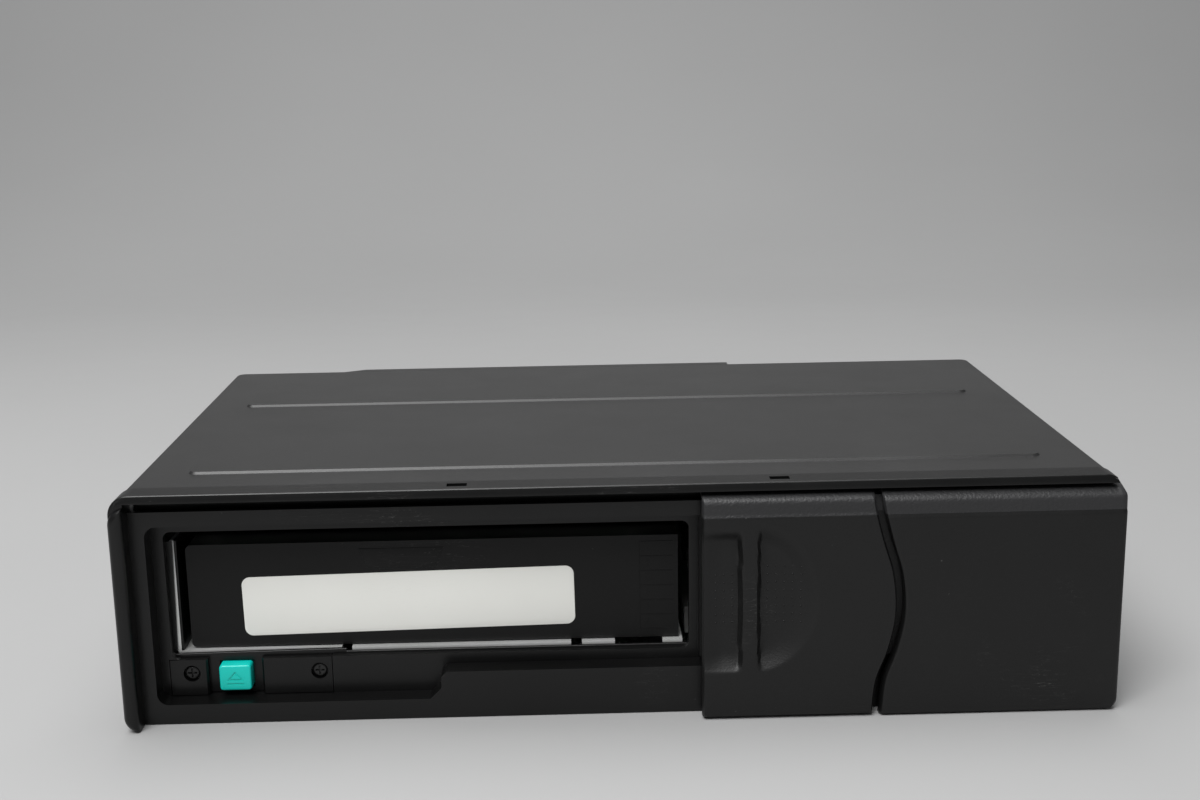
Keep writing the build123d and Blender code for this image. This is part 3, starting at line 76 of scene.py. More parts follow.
# points (x, z) of the wavy joint between the door and the right panel
WAVE = ((66.6, 0.0), (67.7, 10.2), (70.7, 18.6), (72.6, 28.5),
        (71.8, 39.5), (68.9, 49.2), (66.9, 57.0), (66.1, 63.0))
WAVE_GAP = 2.1
# left finger recess: right side, low end, top end
PILL = (32.0, 12.9, 53.0)
# right finger recess: straight side, reach to the right, middle height, half height
MOON = (35.6, 52.2, 33.8, 20.8)
GRIP_DEEP = 2.7
GRIP_WALL = 1.3
MAG_FRONT = 17.0
LABEL_X = (-102.4, -12.3)
LABEL_Z = (21.1, 37.8)
LABEL_TURN = 0.0148  # the film is stuck on a little askew
STRIP_X = (5.5, 14.7)
STRIP_Z = (19.8, 44.8)
SLOTS = 6
LATCH_SLOTS = ((-45.1, -39.8), (39.4, 44.6))
SEAT_X = (-70.5, -47.5)
SEAT_Z = (38.8, 44.6)
SEAT_SLANT = 2.5


# ------------------------------------------------------------ working by hand
def at(x, d, z):
    return Vector((x * MM, FRONT + d * MM, z * MM))


def lay_aside():
    bpy.ops.object.select_all(action="DESELECT")


def take(obj):
    lay_aside()
    obj.select_set(True)
    bpy.context.view_layer.objects.active = obj


def set_in_place(name):
    """Applies the new object's place and names it."""
    obj = bpy.context.object
    obj.name = name
    obj.data.name = name
    bpy.ops.object.transform_apply(location=True, rotation=True, scale=True)
    return obj


def cuboid(name, x, d, z):
    lay_aside()
    middle = at(sum(x) / 2, sum(d) / 2, sum(z) / 2)
    size = ((x[1] - x[0]) * MM, (d[1] - d[0]) * MM, (z[1] - z[0]) * MM)
    bpy.ops.mesh.primitive_cube_add(size=1, location=middle, scale=size)
    return set_in_place(name)


def rod(name, x, d, z, radius, sides=32):
    """A cylinder that points at the viewer, between the depths d."""
    lay_aside()
    bpy.ops.mesh.primitive_cylinder_add(vertices=sides, radius=radius * MM, depth=(d[1] - d[0]) * MM,
                                        location=at(x, sum(d) / 2, z), rotation=(radians(90), 0, 0))
    return set_in_place(name)


def spot(part):
    """Middle of an edge or face as (x, d, z)."""
    if isinstance(part, bmesh.types.BMEdge):
        return spot_of((part.verts[0].co + part.verts[1].co) / 2)
    return spot_of(part.calc_center_median())


def runs(edge, axis):
    step = edge.verts[1].co - edge.verts[0].co
    return abs(step[axis]) > 0.99 * step.length


def pick(obj, kind, test):
    """Edit mode with the edges or faces chosen that pass the test."""
    take(obj)
    bpy.ops.object.mode_set(mode="EDIT")
    bpy.ops.mesh.select_mode(type=kind)
    bpy.ops.mesh.select_all(action="DESELECT")
    shape = bmesh.from_edit_mesh(obj.data)
    for part in {"EDGE": shape.edges, "FACE": shape.faces}[kind]:
        if test(part):
            part.select_set(True)
    shape.select_flush_mode()
    bmesh.update_edit_mesh(obj.data)


def put_down():
    bpy.ops.object.mode_set(mode="OBJECT")


def pull(obj, test, d):
    """Extrudes the chosen faces backwards by a step."""
    pick(obj, "FACE", test)
    bpy.ops.mesh.extrude_region_move(TRANSFORM_OT_translate={"value": (0, d * MM, 0)})
    put_down()


def round_off(obj, test, radius, segments=4):
    pick(obj, "EDGE", test)
    bpy.ops.mesh.bevel(offset=radius * MM, segments=segments, affect="EDGES")
    put_down()


def cut_at(obj, x=None, d=None, z=None):
    """A ring of edges where a plane crosses the piece."""
    pick(obj, "FACE", lambda face: True)
    place = at(x or 0, d or 0, z or 0)
    across = (x is not None, d is not None, z is not None)
    bpy.ops.mesh.bisect(plane_co=place, plane_no=across)
    put_down()


def apply(obj, kind, **values):
    take(obj)
    modifier = obj.modifiers.new(kind.title(), kind)
    for name, value in values.items():
        setattr(modifier, name, value)
    bpy.ops.object.modifier_apply(modifier=modifier.name)


def carve(obj, tool):
    """Cuts the tool's shape out of the piece."""
    apply(obj, "BOOLEAN", object=tool, operation="DIFFERENCE", solver="EXACT")
    bpy.data.objects.remove(tool)


def join(*objs):
    take(objs[0])
    for obj in objs[1:]:
        obj.select_set(True)
    bpy.ops.object.join()
    return objs[0]


def reshape(obj, move):
    """Every vertex goes where move(x, d, z) says."""
    for vertex in obj.data.vertices:
        vertex.co = at(*move(*spot_of(vertex.co)))


def spot_of(place):
    return place.x / MM, (place.y - FRONT) / MM, place.z / MM


def smooth(obj, angle=35):
    take(obj)
    bpy.ops.object.shade_smooth_by_angle(angle=radians(angle))


def fit(obj, body, slot, material, *nodes):
    """The finished piece rides on its body, has its finish and stands for its nodes."""
    obj.data.materials.clear()
    obj.data.materials.append(material)
    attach(obj, body)
    if nodes:
        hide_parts(*nodes)
    return obj


# ------------------------------------------------------------ finishes
def group(name, inputs, outputs):
    tree = bpy.data.node_groups.new(name, "ShaderNodeTree")
    for label, kind, value in inputs:
        socket = tree.interface.new_socket(label, in_out="INPUT", socket_type=kind)
        if value is not None:
            socket.default_value = value
    for label, kind in outputs:
        tree.interface.new_socket(label, in_out="OUTPUT", socket_type=kind)
    return tree, tree.nodes.new("NodeGroupInput"), tree.nodes.new("NodeGroupOutput")


def node(tree, kind, settings=None, **inputs):
    """A shader node with its settings, and its inputs given as values or as other sockets.

    An input goes by its name, or as i and its number.
    """
    made = tree.nodes.new("ShaderNode" + kind)
    for name, value in (settings or {}).items():
        setattr(made, name, value)
    for name, value in inputs.items():
        numbered = name[0] == "i" and name[1:].isdigit()
        socket = made.inputs[int(name[1:]) if numbered else name.replace("_", " ")]
        if isinstance(value, bpy.types.NodeSocket):
            tree.links.new(value, socket)
        else:
            socket.default_value = value
    return made


def number(tree, operation, first, second=0.0, clamp=False):
    return node(tree, "Math", {"operation": operation, "use_clamp": clamp}, i0=first, i1=second).outputs[0]


def blend(tree, share, one, other):
    """The one colour, turned into the other by a share."""
    return node(tree, "Mix", {"data_type": "RGBA"}, i0=share, i6=one, i7=other).outputs[2]


def ramp(tree, value, low, high, to_low=0.0, to_high=1.0):
    made = node(tree, "MapRange", None, Value=value,
                From_Min=low, From_Max=high, To_Min=to_low, To_Max=to_high)
    return made.outputs[0]


def make_grain():
    """Fine moulded or painted grain as a height."""
    tree, given, result = group(
        "surface_grain",
        (("Place", "NodeSocketVector", None), ("Cells", "NodeSocketFloat", 1500.0),
         ("Pebble", "NodeSocketFloat", 0.5)),
        (("Height", "NodeSocketFloat"),))
    place = given.outputs["Place"]
    fine = node(tree, "TexNoise", None, Vector=place, Scale=given.outputs["Cells"], Detail=3.0)
    cells = node(tree, "TexVoronoi", {"feature": "SMOOTH_F1"}, Vector=place,
                 Scale=number(tree, "MULTIPLY", given.outputs["Cells"], 0.55))
    pebbles = number(tree, "MULTIPLY", cells.outputs["Distance"], given.outputs["Pebble"])
    tree.links.new(number(tree, "ADD", fine.outputs[0], pebbles), result.inputs["Height"])
    return tree


def make_marks():
    """Dust specks, hairline scratches and broad rubbed areas, each as a mask."""
    tree, given, result = group(
        "use_marks",
        (("Place", "NodeSocketVector", None), ("Amount", "NodeSocketFloat", 0.5)),
        (("Dust", "NodeSocketFloat"), ("Scratch", "NodeSocketFloat"), ("Rub", "NodeSocketFloat")))
    place = given.outputs["Place"]
    rub = ramp(tree, node(tree, "TexNoise", None, Vector=place, Scale=38.0, Detail=4.0).outputs[0], 0.42, 0.72)
    specks = node(tree, "TexVoronoi", None, Vector=place, Scale=420.0, Randomness=1.0)
    near = ramp(tree, specks.outputs["Distance"], 0.10, 0.02)
    areas = node(tree, "TexNoise", None, Vector=place, Scale=170.0)
    chosen = number(tree, "GREATER_THAN", areas.outputs[0], 0.66)
    dust = number(tree, "MULTIPLY", number(tree, "MULTIPLY", near, chosen), given.outputs["Amount"], True)
    turned = node(tree, "Mapping", None, Vector=place, Rotation=(0.4, 0.9, 0.6), Scale=(1.0, 14.0, 9.0))
    line = node(tree, "TexNoise", None, Vector=turned.outputs[0], Scale=120.0, Detail=2.0)
    thin = ramp(tree, number(tree, "ABSOLUTE", number(tree, "SUBTRACT", line.outputs[0], 0.5)), 0.006, 0.0)
    rare = ramp(tree, node(tree, "TexNoise", None, Vector=place, Scale=24.0).outputs[0], 0.60, 0.72)
    scratch = number(tree, "MULTIPLY", number(tree, "MULTIPLY", thin, rare), given.outputs["Amount"], True)
    for label, value in (("Dust", dust), ("Scratch", scratch), ("Rub", rub)):
        tree.links.new(value, result.inputs[label])
    return tree


def make_drift():
    """Two tones of one colour in slow patches."""
    tree, given, result = group(
        "tone_drift",
        (("Place", "NodeSocketVector", None), ("Patches", "NodeSocketFloat", 30.0),
         ("One", "NodeSocketColor", None), ("Other", "NodeSocketColor", None)),
        (("Colour", "NodeSocketColor"), ("Share", "NodeSocketFloat")))
    place = given.outputs["Place"]
    patch = node(tree, "TexNoise", None, Vector=place, Scale=given.outputs["Patches"], Detail=3.0)
    share = ramp(tree, patch.outputs[0], 0.35, 0.65)
    mix = blend(tree, share, given.outputs["One"], given.outputs["Other"])
    tree.links.new(mix, result.inputs["Colour"])
    tree.links.new(share, result.inputs["Share"])
    return tree


GRAIN = make_grain()
MARKS = make_marks()
DRIFT = make_drift()
DUST_GREY = (0.34, 0.34, 0.33, 1)
# painted light: the grained band above the crease gets this paler base colour in place of the light its upward
# tilt catches
BAND_PAINTED_LIGHT = (0.020, 0.020, 0.021, 1)
COAT_ROUGH = 0.12


def grey(level):
    return (level, level, level, 1)


def placed(tree, made, **inputs):
    return node(tree, "Group", {"node_tree": made}, **inputs)


def finish(name, one, other, rough, rough_spread, cells, pebble, depth, marks, patches,
           metallic=0.0, stretch=(1, 1, 1), band=None, coat=0.0, gloss=0.5):
    """A material with drifting tone, grain, dust and scratches.

    band = (z, cells, depth) is coarser grain above a height, with a paler base colour there as painted light
    for the band's upward tilt.
    """
    material = bpy.data.materials.new(name)
    material.use_nodes = True
    tree = material.node_tree
    shader = tree.nodes["Principled BSDF"]
    shader.inputs["Metallic"].default_value = metallic
    shader.inputs["Coat Weight"].default_value = coat
    shader.inputs["Coat Roughness"].default_value = COAT_ROUGH
    own_place = node(tree, "TexCoord").outputs["Object"]
    place = node(tree, "Mapping", None, Vector=own_place, Scale=stretch).outputs[0]
    drift = placed(tree, DRIFT, Place=place, Patches=patches, One=one, Other=other)
    used = placed(tree, MARKS, Place=place, Amount=marks)
    scratched = blend(tree, used.outputs["Scratch"], drift.outputs["Colour"], DUST_GREY)
    colour = blend(tree, used.outputs["Dust"], scratched, DUST_GREY)
    dull = ramp(tree, number(tree, "ADD", drift.outputs["Share"], used.outputs["Rub"]), 0.0, 2.0,
                rough - rough_spread, rough + rough_spread)
    height = placed(tree, GRAIN, Place=place, Cells=cells, Pebble=pebble).outputs["Height"]
    height = number(tree, "MULTIPLY", height, depth)
    if band:
        band_low, band_cells, band_depth = band
        height_up = node(tree, "SeparateXYZ", None, Vector=place).outputs[2]
        above = number(tree, "GREATER_THAN", height_up, band_low * MM)
        # painted light: the paler band colour stands in for the light the band's upward tilt catches
        colour = blend(tree, above, colour, BAND_PAINTED_LIGHT)
        leather = placed(tree, GRAIN, Place=place, Cells=band_cells, Pebble=1.0).outputs["Height"]
        leather = number(tree, "MULTIPLY", leather, number(tree, "MULTIPLY", above, band_depth))
        height = number(tree, "ADD", height, leather)
    tree.links.new(colour, shader.inputs["Base Color"])
    tree.links.new(dull, shader.inputs["Roughness"])
    shader.inputs["Specular IOR Level"].default_value = gloss
    bump = node(tree, "Bump", None, Strength=1.0, Distance=1.0, Height=height)
    tree.links.new(bump.outputs[0], shader.inputs["Normal"])
    return material


FINISHES = {
    "black_steel": finish("satin_black_paint", grey(0.011), grey(0.015), 0.36, 0.03, 1700, 0.3, 0.00002,
                          marks=0.15, patches=22),
    # the door and panel plastic is painted paler above the crease, painted light for the band's upward tilt
    "black_plastic": finish("black_grained_plastic", grey(0.003), grey(0.004), 0.46, 0.04, 2600, 0.5, 0.00004,
                            marks=0.25, patches=26, band=(CREASE_Z, 2300, 0.00008), gloss=0.37),
    "bezel_plastic": finish("black_smooth_plastic", grey(0.002), grey(0.003), 0.32, 0.04, 2400, 0.3, 0.000012,
                            marks=0.2, patches=26, gloss=0.35),
    "magazine_plastic": finish("magazine_black", grey(0.002), grey(0.003), 0.46, 0.04, 2600, 0.4, 0.00002,
                               marks=0.15, patches=20, gloss=0.27),
    "tray_plastic": finish("tray_black", grey(0.018), grey(0.024), 0.42, 0.05, 2200, 0.3, 0.00002,
                           marks=0.2, patches=20),
    "teal_plastic": finish("teal_key", (0.001, 0.49, 0.42, 1), (0.002, 0.54, 0.47, 1), 0.34, 0.04, 2400, 0.3,
                           0.00001, marks=0.05, patches=60),
    "label_stock": finish("white_film", (0.76, 0.76, 0.72, 1), (0.80, 0.80, 0.76, 1), 0.38, 0.06, 900, 0.2,
                          0.00002, marks=0.1, patches=18),
    "zinc_steel": finish("zinc_sheet", grey(0.80), (0.70, 0.71, 0.69, 1), 0.40, 0.06, 1400, 0.6, 0.00002,
                         marks=0.1, patches=60, metallic=0.6),
    "steel": finish("turned_steel", grey(0.55), grey(0.45), 0.26, 0.06, 1600, 0.2, 0.00001,
                    marks=0.1, patches=70, metallic=1.0, stretch=(1, 1, 6)),
    "screw_black": finish("black_oxide", grey(0.020), grey(0.035), 0.34, 0.06, 2000, 0.3, 0.00001,
                          marks=0.1, patches=90, metallic=0.6),
    "white_plastic": finish("natural_acetal", (0.62, 0.60, 0.53, 1), (0.70, 0.68, 0.61, 1), 0.40, 0.05, 2000,
                            0.3, 0.00001, marks=0.1, patches=40),
    "rubber": finish("soft_rubber", grey(0.020), grey(0.028), 0.75, 0.06, 1800, 0.5, 0.00004,
                     marks=0.2, patches=40),
    "board": finish("board_green", (0.012, 0.085, 0.030, 1), (0.018, 0.115, 0.042, 1), 0.34, 0.05, 900, 0.8,
                    0.00003, marks=0.1, patches=90),
    "component": finish("component_black", grey(0.016), grey(0.024), 0.45, 0.05, 2200, 0.4, 0.00002,
                        marks=0.2, patches=60),
    "motor_can": finish("motor_can_metal", grey(0.48), grey(0.40), 0.28, 0.05, 1500, 0.2, 0.00001,
                        marks=0.1, patches=50, metallic=1.0, stretch=(1, 1, 5)),
    "lens": finish("clear_lens", (0.10, 0.14, 0.30, 1), (0.14, 0.18, 0.36, 1), 0.08, 0.02, 900, 0.0, 0.000002,
                   marks=0.0, patches=90, coat=1.0),
    "ribbon": finish("flat_cable_film", (0.62, 0.62, 0.58, 1), (0.70, 0.70, 0.66, 1), 0.36, 0.05, 900, 0.2,
                     0.00001, marks=0.1, patches=80, stretch=(1, 4, 1)),
}

slot_of = {part["node"]: part["material_slot"] for part in frame["record"]["subparts"]}
for name, obj in frame["nodes"].items():
    for material_slot in obj.material_slots:
        material_slot.material = FINISHES[slot_of[name]]


# ------------------------------------------------------------ door and right panel
def wave_x(z):
    """The wavy joint's x at a height, by smooth steps between its points."""
    z = min(max(z, WAVE[0][1]), WAVE[-1][1])
    for k in range(len(WAVE) - 1):
        (x0, z0), (x1, z1) = WAVE[k], WAVE[k + 1]
        if z <= z1:
            before = WAVE[max(k - 1, 0)]
            after = WAVE[min(k + 2, len(WAVE) - 1)]
            slope0 = (x1 - before[0]) / (z1 - before[1]) * (z1 - z0)
            slope1 = (after[0] - x0) / (after[1] - z0) * (z1 - z0)
            t = (z - z0) / (z1 - z0)
            return (x0 * (2 * t ** 3 - 3 * t ** 2 + 1) + slope0 * (t ** 3 - 2 * t ** 2 + t)
                    + x1 * (3 * t ** 2 - 2 * t ** 3) + slope1 * (t ** 3 - t ** 2))
    return WAVE[-1][0]


def eased(t):
    t = min(max(t, 0.0), 1.0)
    return t * t * (3 - 2 * t)


def dished(t):
    """A slope that starts at the rim and levels out further in."""
    t = min(max(t, 0.0), 1.0)
    return sin(pi / 2 * t)


def rounded(a, b, radius):
    """Distance from the outline inside a rounded corner, from the distances to its two sides."""
    if a < radius and b < radius:
        return radius - sqrt((radius - a) ** 2 + (radius - b) ** 2)
    return min(a, b)


def edge_roll(distance, radius):
    """How far a rounded edge has fallen back at a distance from the rim."""
    if distance >= radius:
        return 0.0
    over = radius - max(distance, 0.0)
    return radius - sqrt(max(radius * radius - over * over, 0.0))


def pill_depth(x, z):
    """Share of the full depth in the left recess, which is steep on its right and shallow to the left."""
    right, low, top = PILL
    if x >= right or not low < z < top:
        return 0.0
    wall = eased((right - x) / GRIP_WALL)
    floor = 0.5 + 0.5 * eased((x - DOOR_LEFT + 3.0) / 9.0)
    ends = eased((top - z) / 4.5) * dished((z - low) / 7.0)
    corner = eased(rounded(right - x, z - low, 3.0) / 0.8)
    return wall * floor * ends * corner


def moon_depth(x, z):
    """Share of the full depth in the right recess, a half ellipse with its straight side on the left."""
    left, reach, middle, half = MOON
    if x <= left or abs(z - middle) >= half:
        return 0.0
    out = 1 - sqrt(((x - left + 0.6) / (reach - left + 0.6)) ** 2 + ((z - middle) / half) ** 2)
    wall = eased((x - left) / GRIP_WALL)
    upper = eased((z - middle + 6.0) / 12.0)
    rim = upper * eased(out / 0.34) + (1 - upper) * dished(out / 0.40)
    return wall * rim * (1.0 - 0.25 * eased((x - left) / (reach - left)))


def grip_depth(x, z):
    """Depth of the two finger recesses at a place on the door's front."""
    return GRIP_DEEP * max(pill_depth(x, z), moon_depth(x, z))


def front_depth(x, z, left, right):
    """Depth of the front surface, with its rolled edges and the tilted band along its top."""
    d = edge_roll(z - DOOR_LOW, LOW_ROLL) + edge_roll(x - left, LEFT_ROLL) + edge_roll(right - x, RIGHT_ROLL)
    if z > CREASE_Z:
        d += CREASE_STEP + (BAND_LEAN - CREASE_STEP) * (z - CREASE_Z) / (BAND_TOP - CREASE_Z)
    return min(d + edge_roll(LEAF_TOP - z, TOP_ROLL), LEAF_T - 0.4)


GRID_ROWS = 145


def leaf(name, x, low, columns):
    """A front plate with a fine grid on its front, and its top carried back under the collar."""
    plate = cuboid(name, x, (0, LEAF_T), (low, LEAF_TOP))
    pick(plate, "EDGE", lambda edge: runs(edge, 2))
    bpy.ops.mesh.subdivide(number_cuts=GRID_ROWS)
    put_down()
    pick(plate, "EDGE", lambda edge: runs(edge, 0) and spot(edge)[1] < 0.1)
    bpy.ops.mesh.subdivide(number_cuts=columns)
    put_down()
    cut_at(plate, z=LEAF_RIM_Z)
    pull(plate, lambda face: spot(face)[1] > LEAF_T - 0.01 and spot(face)[2] > LEAF_RIM_Z, FACE_D - LEAF_T)
    return plate


def top_height(d):
    """The leaf's top rises towards the rear."""
    return LEAF_TOP + TOP_RISE * min(max((d - TOP_ROLL) / (FACE_D - TOP_ROLL), 0.0), 1.0)


DOOR_PLATE_RIGHT = 73.0  # right side of the plate before it follows the wave
DOOR_COLUMNS = 96
door = leaf("door_grip", (DOOR_LEFT, DOOR_PLATE_RIGHT), DOOR_LOW, DOOR_COLUMNS)
pull(door, lambda face: spot(face)[1] > FACE_D - 0.01, HOOK_D[1] - FACE_D)


def shape_door(x, d, z):
    right = wave_x(z)
    x = DOOR_LEFT + (x - DOOR_LEFT) * (right - DOOR_LEFT) / (DOOR_PLATE_RIGHT - DOOR_LEFT)
    if d < 0.01:
        d = front_depth(x, z, DOOR_LEFT, right) + grip_depth(x, z)
    if z > LEAF_TOP - 0.01:
        z = top_height(d)
    return x, d, z


reshape(door, shape_door)
HOOK_X = (DOOR_LEFT + 4.0, 66.0)
HOOK_TOP = 61.8
TONGUE_X = (56.0, 66.0)
TONGUE_D = (LEAF_T - 0.3, 11.0)
TONGUE_Z = (13.3, 14.6)
hook = cuboid("door_hook", HOOK_X, HOOK_D, (HOOK_LOW, HOOK_TOP))
round_off(hook, lambda edge: runs(edge, 0) and spot(edge)[2] < 58, 0.3, 2)
tongue = cuboid("door_tongue", TONGUE_X, TONGUE_D, TONGUE_Z)
round_off(tongue, lambda edge: spot(edge)[1] > TONGUE_D[1] - 0.1, 0.3, 2)
door = join(door, hook, tongue)
smooth(door, 40)
fit(door, "door", "black_plastic", FINISHES["black_plastic"], "sliding_door")

PANEL_PLATE_LEFT = 60.0  # left side of the plate before it follows the wave
PANEL_COLUMNS = 110
panel = leaf("right_fascia", (PANEL_PLATE_LEFT, PANEL_RIGHT), 0.0, PANEL_COLUMNS)
for cut in ({"x": PANEL_EAR}, {"x": PANEL_END}, {"z": PANEL_SILL}):
    cut_at(panel, **cut)


def carried_back(face):
    x, d, z = spot(face)
    return abs(d - LEAF_T) < 0.01 and (x > PANEL_END or (x > PANEL_EAR and z < PANEL_SILL))


pull(panel, carried_back, FACE_D - LEAF_T)


def shape_panel(x, d, z):
    left = wave_x(z) + WAVE_GAP
    right = PANEL_RIGHT - edge_roll(z, PANEL_CORNER) - edge_roll(PANEL_TOP - z, PANEL_CORNER)
    if x < PANEL_EAR - 0.1:
        x = left + (x - PANEL_PLATE_LEFT) * (PANEL_EAR - left) / (PANEL_EAR - PANEL_PLATE_LEFT)
    elif x > PANEL_END + 0.1:
        x = PANEL_END + (x - PANEL_END) * (right - PANEL_END) / (PANEL_RIGHT - PANEL_END)
    if d < 0.01:
        d = front_depth(x, z + DOOR_LOW, left, right)
    if z > LEAF_TOP - 0.01:
        z = top_height(d)
    return x, d, z


reshape(panel, shape_panel)
smooth(panel, 40)
fit(panel, "housing", "black_plastic", FINISHES["black_plastic"], "right_front_panel")


# raised dots on the floors of the recesses
DOT_R = 0.24
DOT_PITCH = 2.2
DOT_SINK = 0.02
DOTS_LOW = 26.5
DOT_FLOOR = 0.9  # dots stand only where the recess is deeper than this


def dot(x, z):
    lay_aside()
    bpy.ops.mesh.primitive_uv_sphere_add(segments=10, ring_count=6, radius=DOT_R * MM,
                                         location=at(x, grip_depth(x, z) + DOT_SINK, z), scale=(1, 0.7, 1))
    return set_in_place("grip_dot")


dots = []
for left, columns, rows in ((24.9, 3, 7), (38.6, 5, 8)):
    places = [(left + DOT_PITCH * column, DOTS_LOW + DOT_PITCH * row)
              for column in range(columns) for row in range(rows)]
    dots += [dot(x, z) for x, z in places if grip_depth(x, z) > DOT_FLOOR]
dots = join(*dots)
dots.name = "grip_dots"
smooth(dots, 60)
fit(dots, "door", "black_plastic", FINISHES["black_plastic"])

# ------------------------------------------------------------ magazine front
LABEL_T = 0.14
LABEL_R = 2.3
RAISED = MAG_FRONT - 0.12  # front of the shapes that stand on the magazine
SUNK = MAG_FRONT + 0.02  # their rear, just inside it
label = cuboid("magazine_sticker", LABEL_X, (MAG_FRONT - LABEL_T, MAG_FRONT), LABEL_Z)
round_off(label, lambda edge: runs(edge, 1), LABEL_R, 8)
round_off(label, lambda edge: spot(edge)[1] < MAG_FRONT - 0.1 and not runs(edge, 1), 0.06, 2)
smooth(label, 40)
label_middle = at(sum(LABEL_X) / 2, MAG_FRONT, sum(LABEL_Z) / 2)
pick(label, "FACE", lambda face: True)
bpy.ops.transform.rotate(value=LABEL_TURN, orient_axis="Y", center_override=label_middle)
put_down()
fit(label, "magazine", "label_stock", FINISHES["label_stock"], "magazine_label")



def slant(x, d, z):
    """The seat's foot is narrower than its top by the slant on each side."""
    if z > sum(SEAT_Z) / 2:
        return x, d, z
    return x + (SEAT_SLANT if x < sum(SEAT_X) / 2 else -SEAT_SLANT), d, z


blank_seat = cuboid("blank_seat", SEAT_X, (RAISED, SUNK), SEAT_Z)
reshape(blank_seat, slant)
round_off(blank_seat, lambda edge: spot(edge)[1] < MAG_FRONT - 0.1, 0.08, 2)
smooth(blank_seat, 40)
fit(blank_seat, "magazine", "magazine_plastic", FINISHES["magazine_plastic"])

CELL = (STRIP_Z[1] - STRIP_Z[0]) / SLOTS
LINE_HALF = 0.09
SIDE_LINE_HALF = 0.1
lines = []
for k in range(SLOTS + 1):
    height = STRIP_Z[0] + k * CELL
    line = cuboid("strip_line", STRIP_X, (RAISED, SUNK), (height - LINE_HALF, height + LINE_HALF))
    round_off(line, lambda edge: spot(edge)[1] < MAG_FRONT - 0.1 and runs(edge, 0), 0.05, 2)
    lines.append(line)
side_x = (STRIP_X[0] - SIDE_LINE_HALF, STRIP_X[0] + SIDE_LINE_HALF)
side_line = cuboid("strip_line", side_x, (MAG_FRONT - 0.1, SUNK), STRIP_Z)
round_off(side_line, lambda edge: spot(edge)[1] < MAG_FRONT - 0.05 and runs(edge, 2), 0.05, 2)
strip = join(*lines, side_line)
strip.name = "slot_strip"
smooth(strip, 40)
fit(strip, "magazine", "magazine_plastic", FINISHES["magazine_plastic"])


DIGIT_HIGH = 2.6
DIGIT_X = STRIP_X[0] + 2.3
DIGIT_T = 0.04


def digit(text, z):
    lay_aside()
    bpy.ops.object.text_add()
    made = bpy.context.object
    made.data.body = text
    made.data.size = DIGIT_HIGH * MM
    made.data.extrude = DIGIT_T * MM
    made.data.align_x = "CENTER"
    made.data.align_y = "CENTER"
    made.data.resolution_u = 3
    bpy.ops.object.convert(target="MESH")
    made.rotation_euler = (radians(90), 0, 0)
    made.location = at(DIGIT_X, MAG_FRONT - 0.02, z)
    return set_in_place("slot_digit")


digits = join(*[digit(str(SLOTS - k), STRIP_Z[0] + (k + 0.5) * CELL) for k in range(SLOTS)])
digits.name = "slot_digits"
fit(digits, "magazine", "magazine_plastic", FINISHES["magazine_plastic"])

# ------------------------------------------------------------ eject key
KEY_X = (-108.8, -100.2)
KEY_Z = (7.2, 14.4)
KEY_FRONT = 10.6
KEY_REAR = 16.8
FLANGE_X = (KEY_X[0] - 0.9, KEY_X[1] + 0.9)
FLANGE_Z = (KEY_Z[0] - 0.8, KEY_Z[1] + 0.5)
FLANGE_REAR = 17.8
STEM_D = (17.6, 21.5)
STEM_R = 1.2
MARK_X = sum(KEY_X) / 2
MARK_Z = sum(KEY_Z) / 2
MARK_D = (KEY_FRONT - 1, KEY_FRONT + 0.22)  # the eject sign is cut in to the second depth
key = cuboid("eject_key", KEY_X, (KEY_FRONT, KEY_REAR), KEY_Z)
round_off(key, lambda edge: runs(edge, 1), 0.9, 5)
round_off(key, lambda edge: spot(edge)[1] < KEY_FRONT + 0.1, 0.5, 4)
flange = cuboid("eject_key_flange", FLANGE_X, (KEY_REAR, FLANGE_REAR), FLANGE_Z)
stem = rod("eject_key_stem", MARK_X, STEM_D, MARK_Z, STEM_R, 24)


ARROW_WIDER = 1.12
ARROW_RISE = 0.15


def key_groove(name, size, flat):
    """A three-sided bar that points up, for cutting the open arrow of the eject sign."""
    lay_aside()
    bpy.ops.mesh.primitive_cylinder_add(vertices=3, radius=size * MM, depth=2 * MM, location=(0, 0, 0))
    bpy.ops.object.transform_apply(location=True, rotation=True, scale=True)
    made = bpy.context.object
    made.rotation_euler = (radians(90), 0, 0)
    made.scale = (ARROW_WIDER, flat, 1)
    made.location = at(MARK_X, KEY_FRONT, MARK_Z + ARROW_RISE)
    return set_in_place(name)


arrow = key_groove("arrow_outer", 2.3, 0.72)
inner = key_groove("arrow_inner", 1.55, 0.62)
bar = cuboid("arrow_bar", (MARK_X - 2.3, MARK_X + 2.3), MARK_D, (MARK_Z - 1.95, MARK_Z - 1.5))
for tool in (arrow, inner):
    reshape(tool, lambda x, d, z: (x, MARK_D[0] if d < KEY_FRONT else MARK_D[1], z))
carve(arrow, inner)
carve(key, arrow)
carve(key, bar)
key = join(key, flange, stem)
smooth(key, 40)
fit(key, "button", "teal_plastic", FINISHES["teal_plastic"], "eject_button")

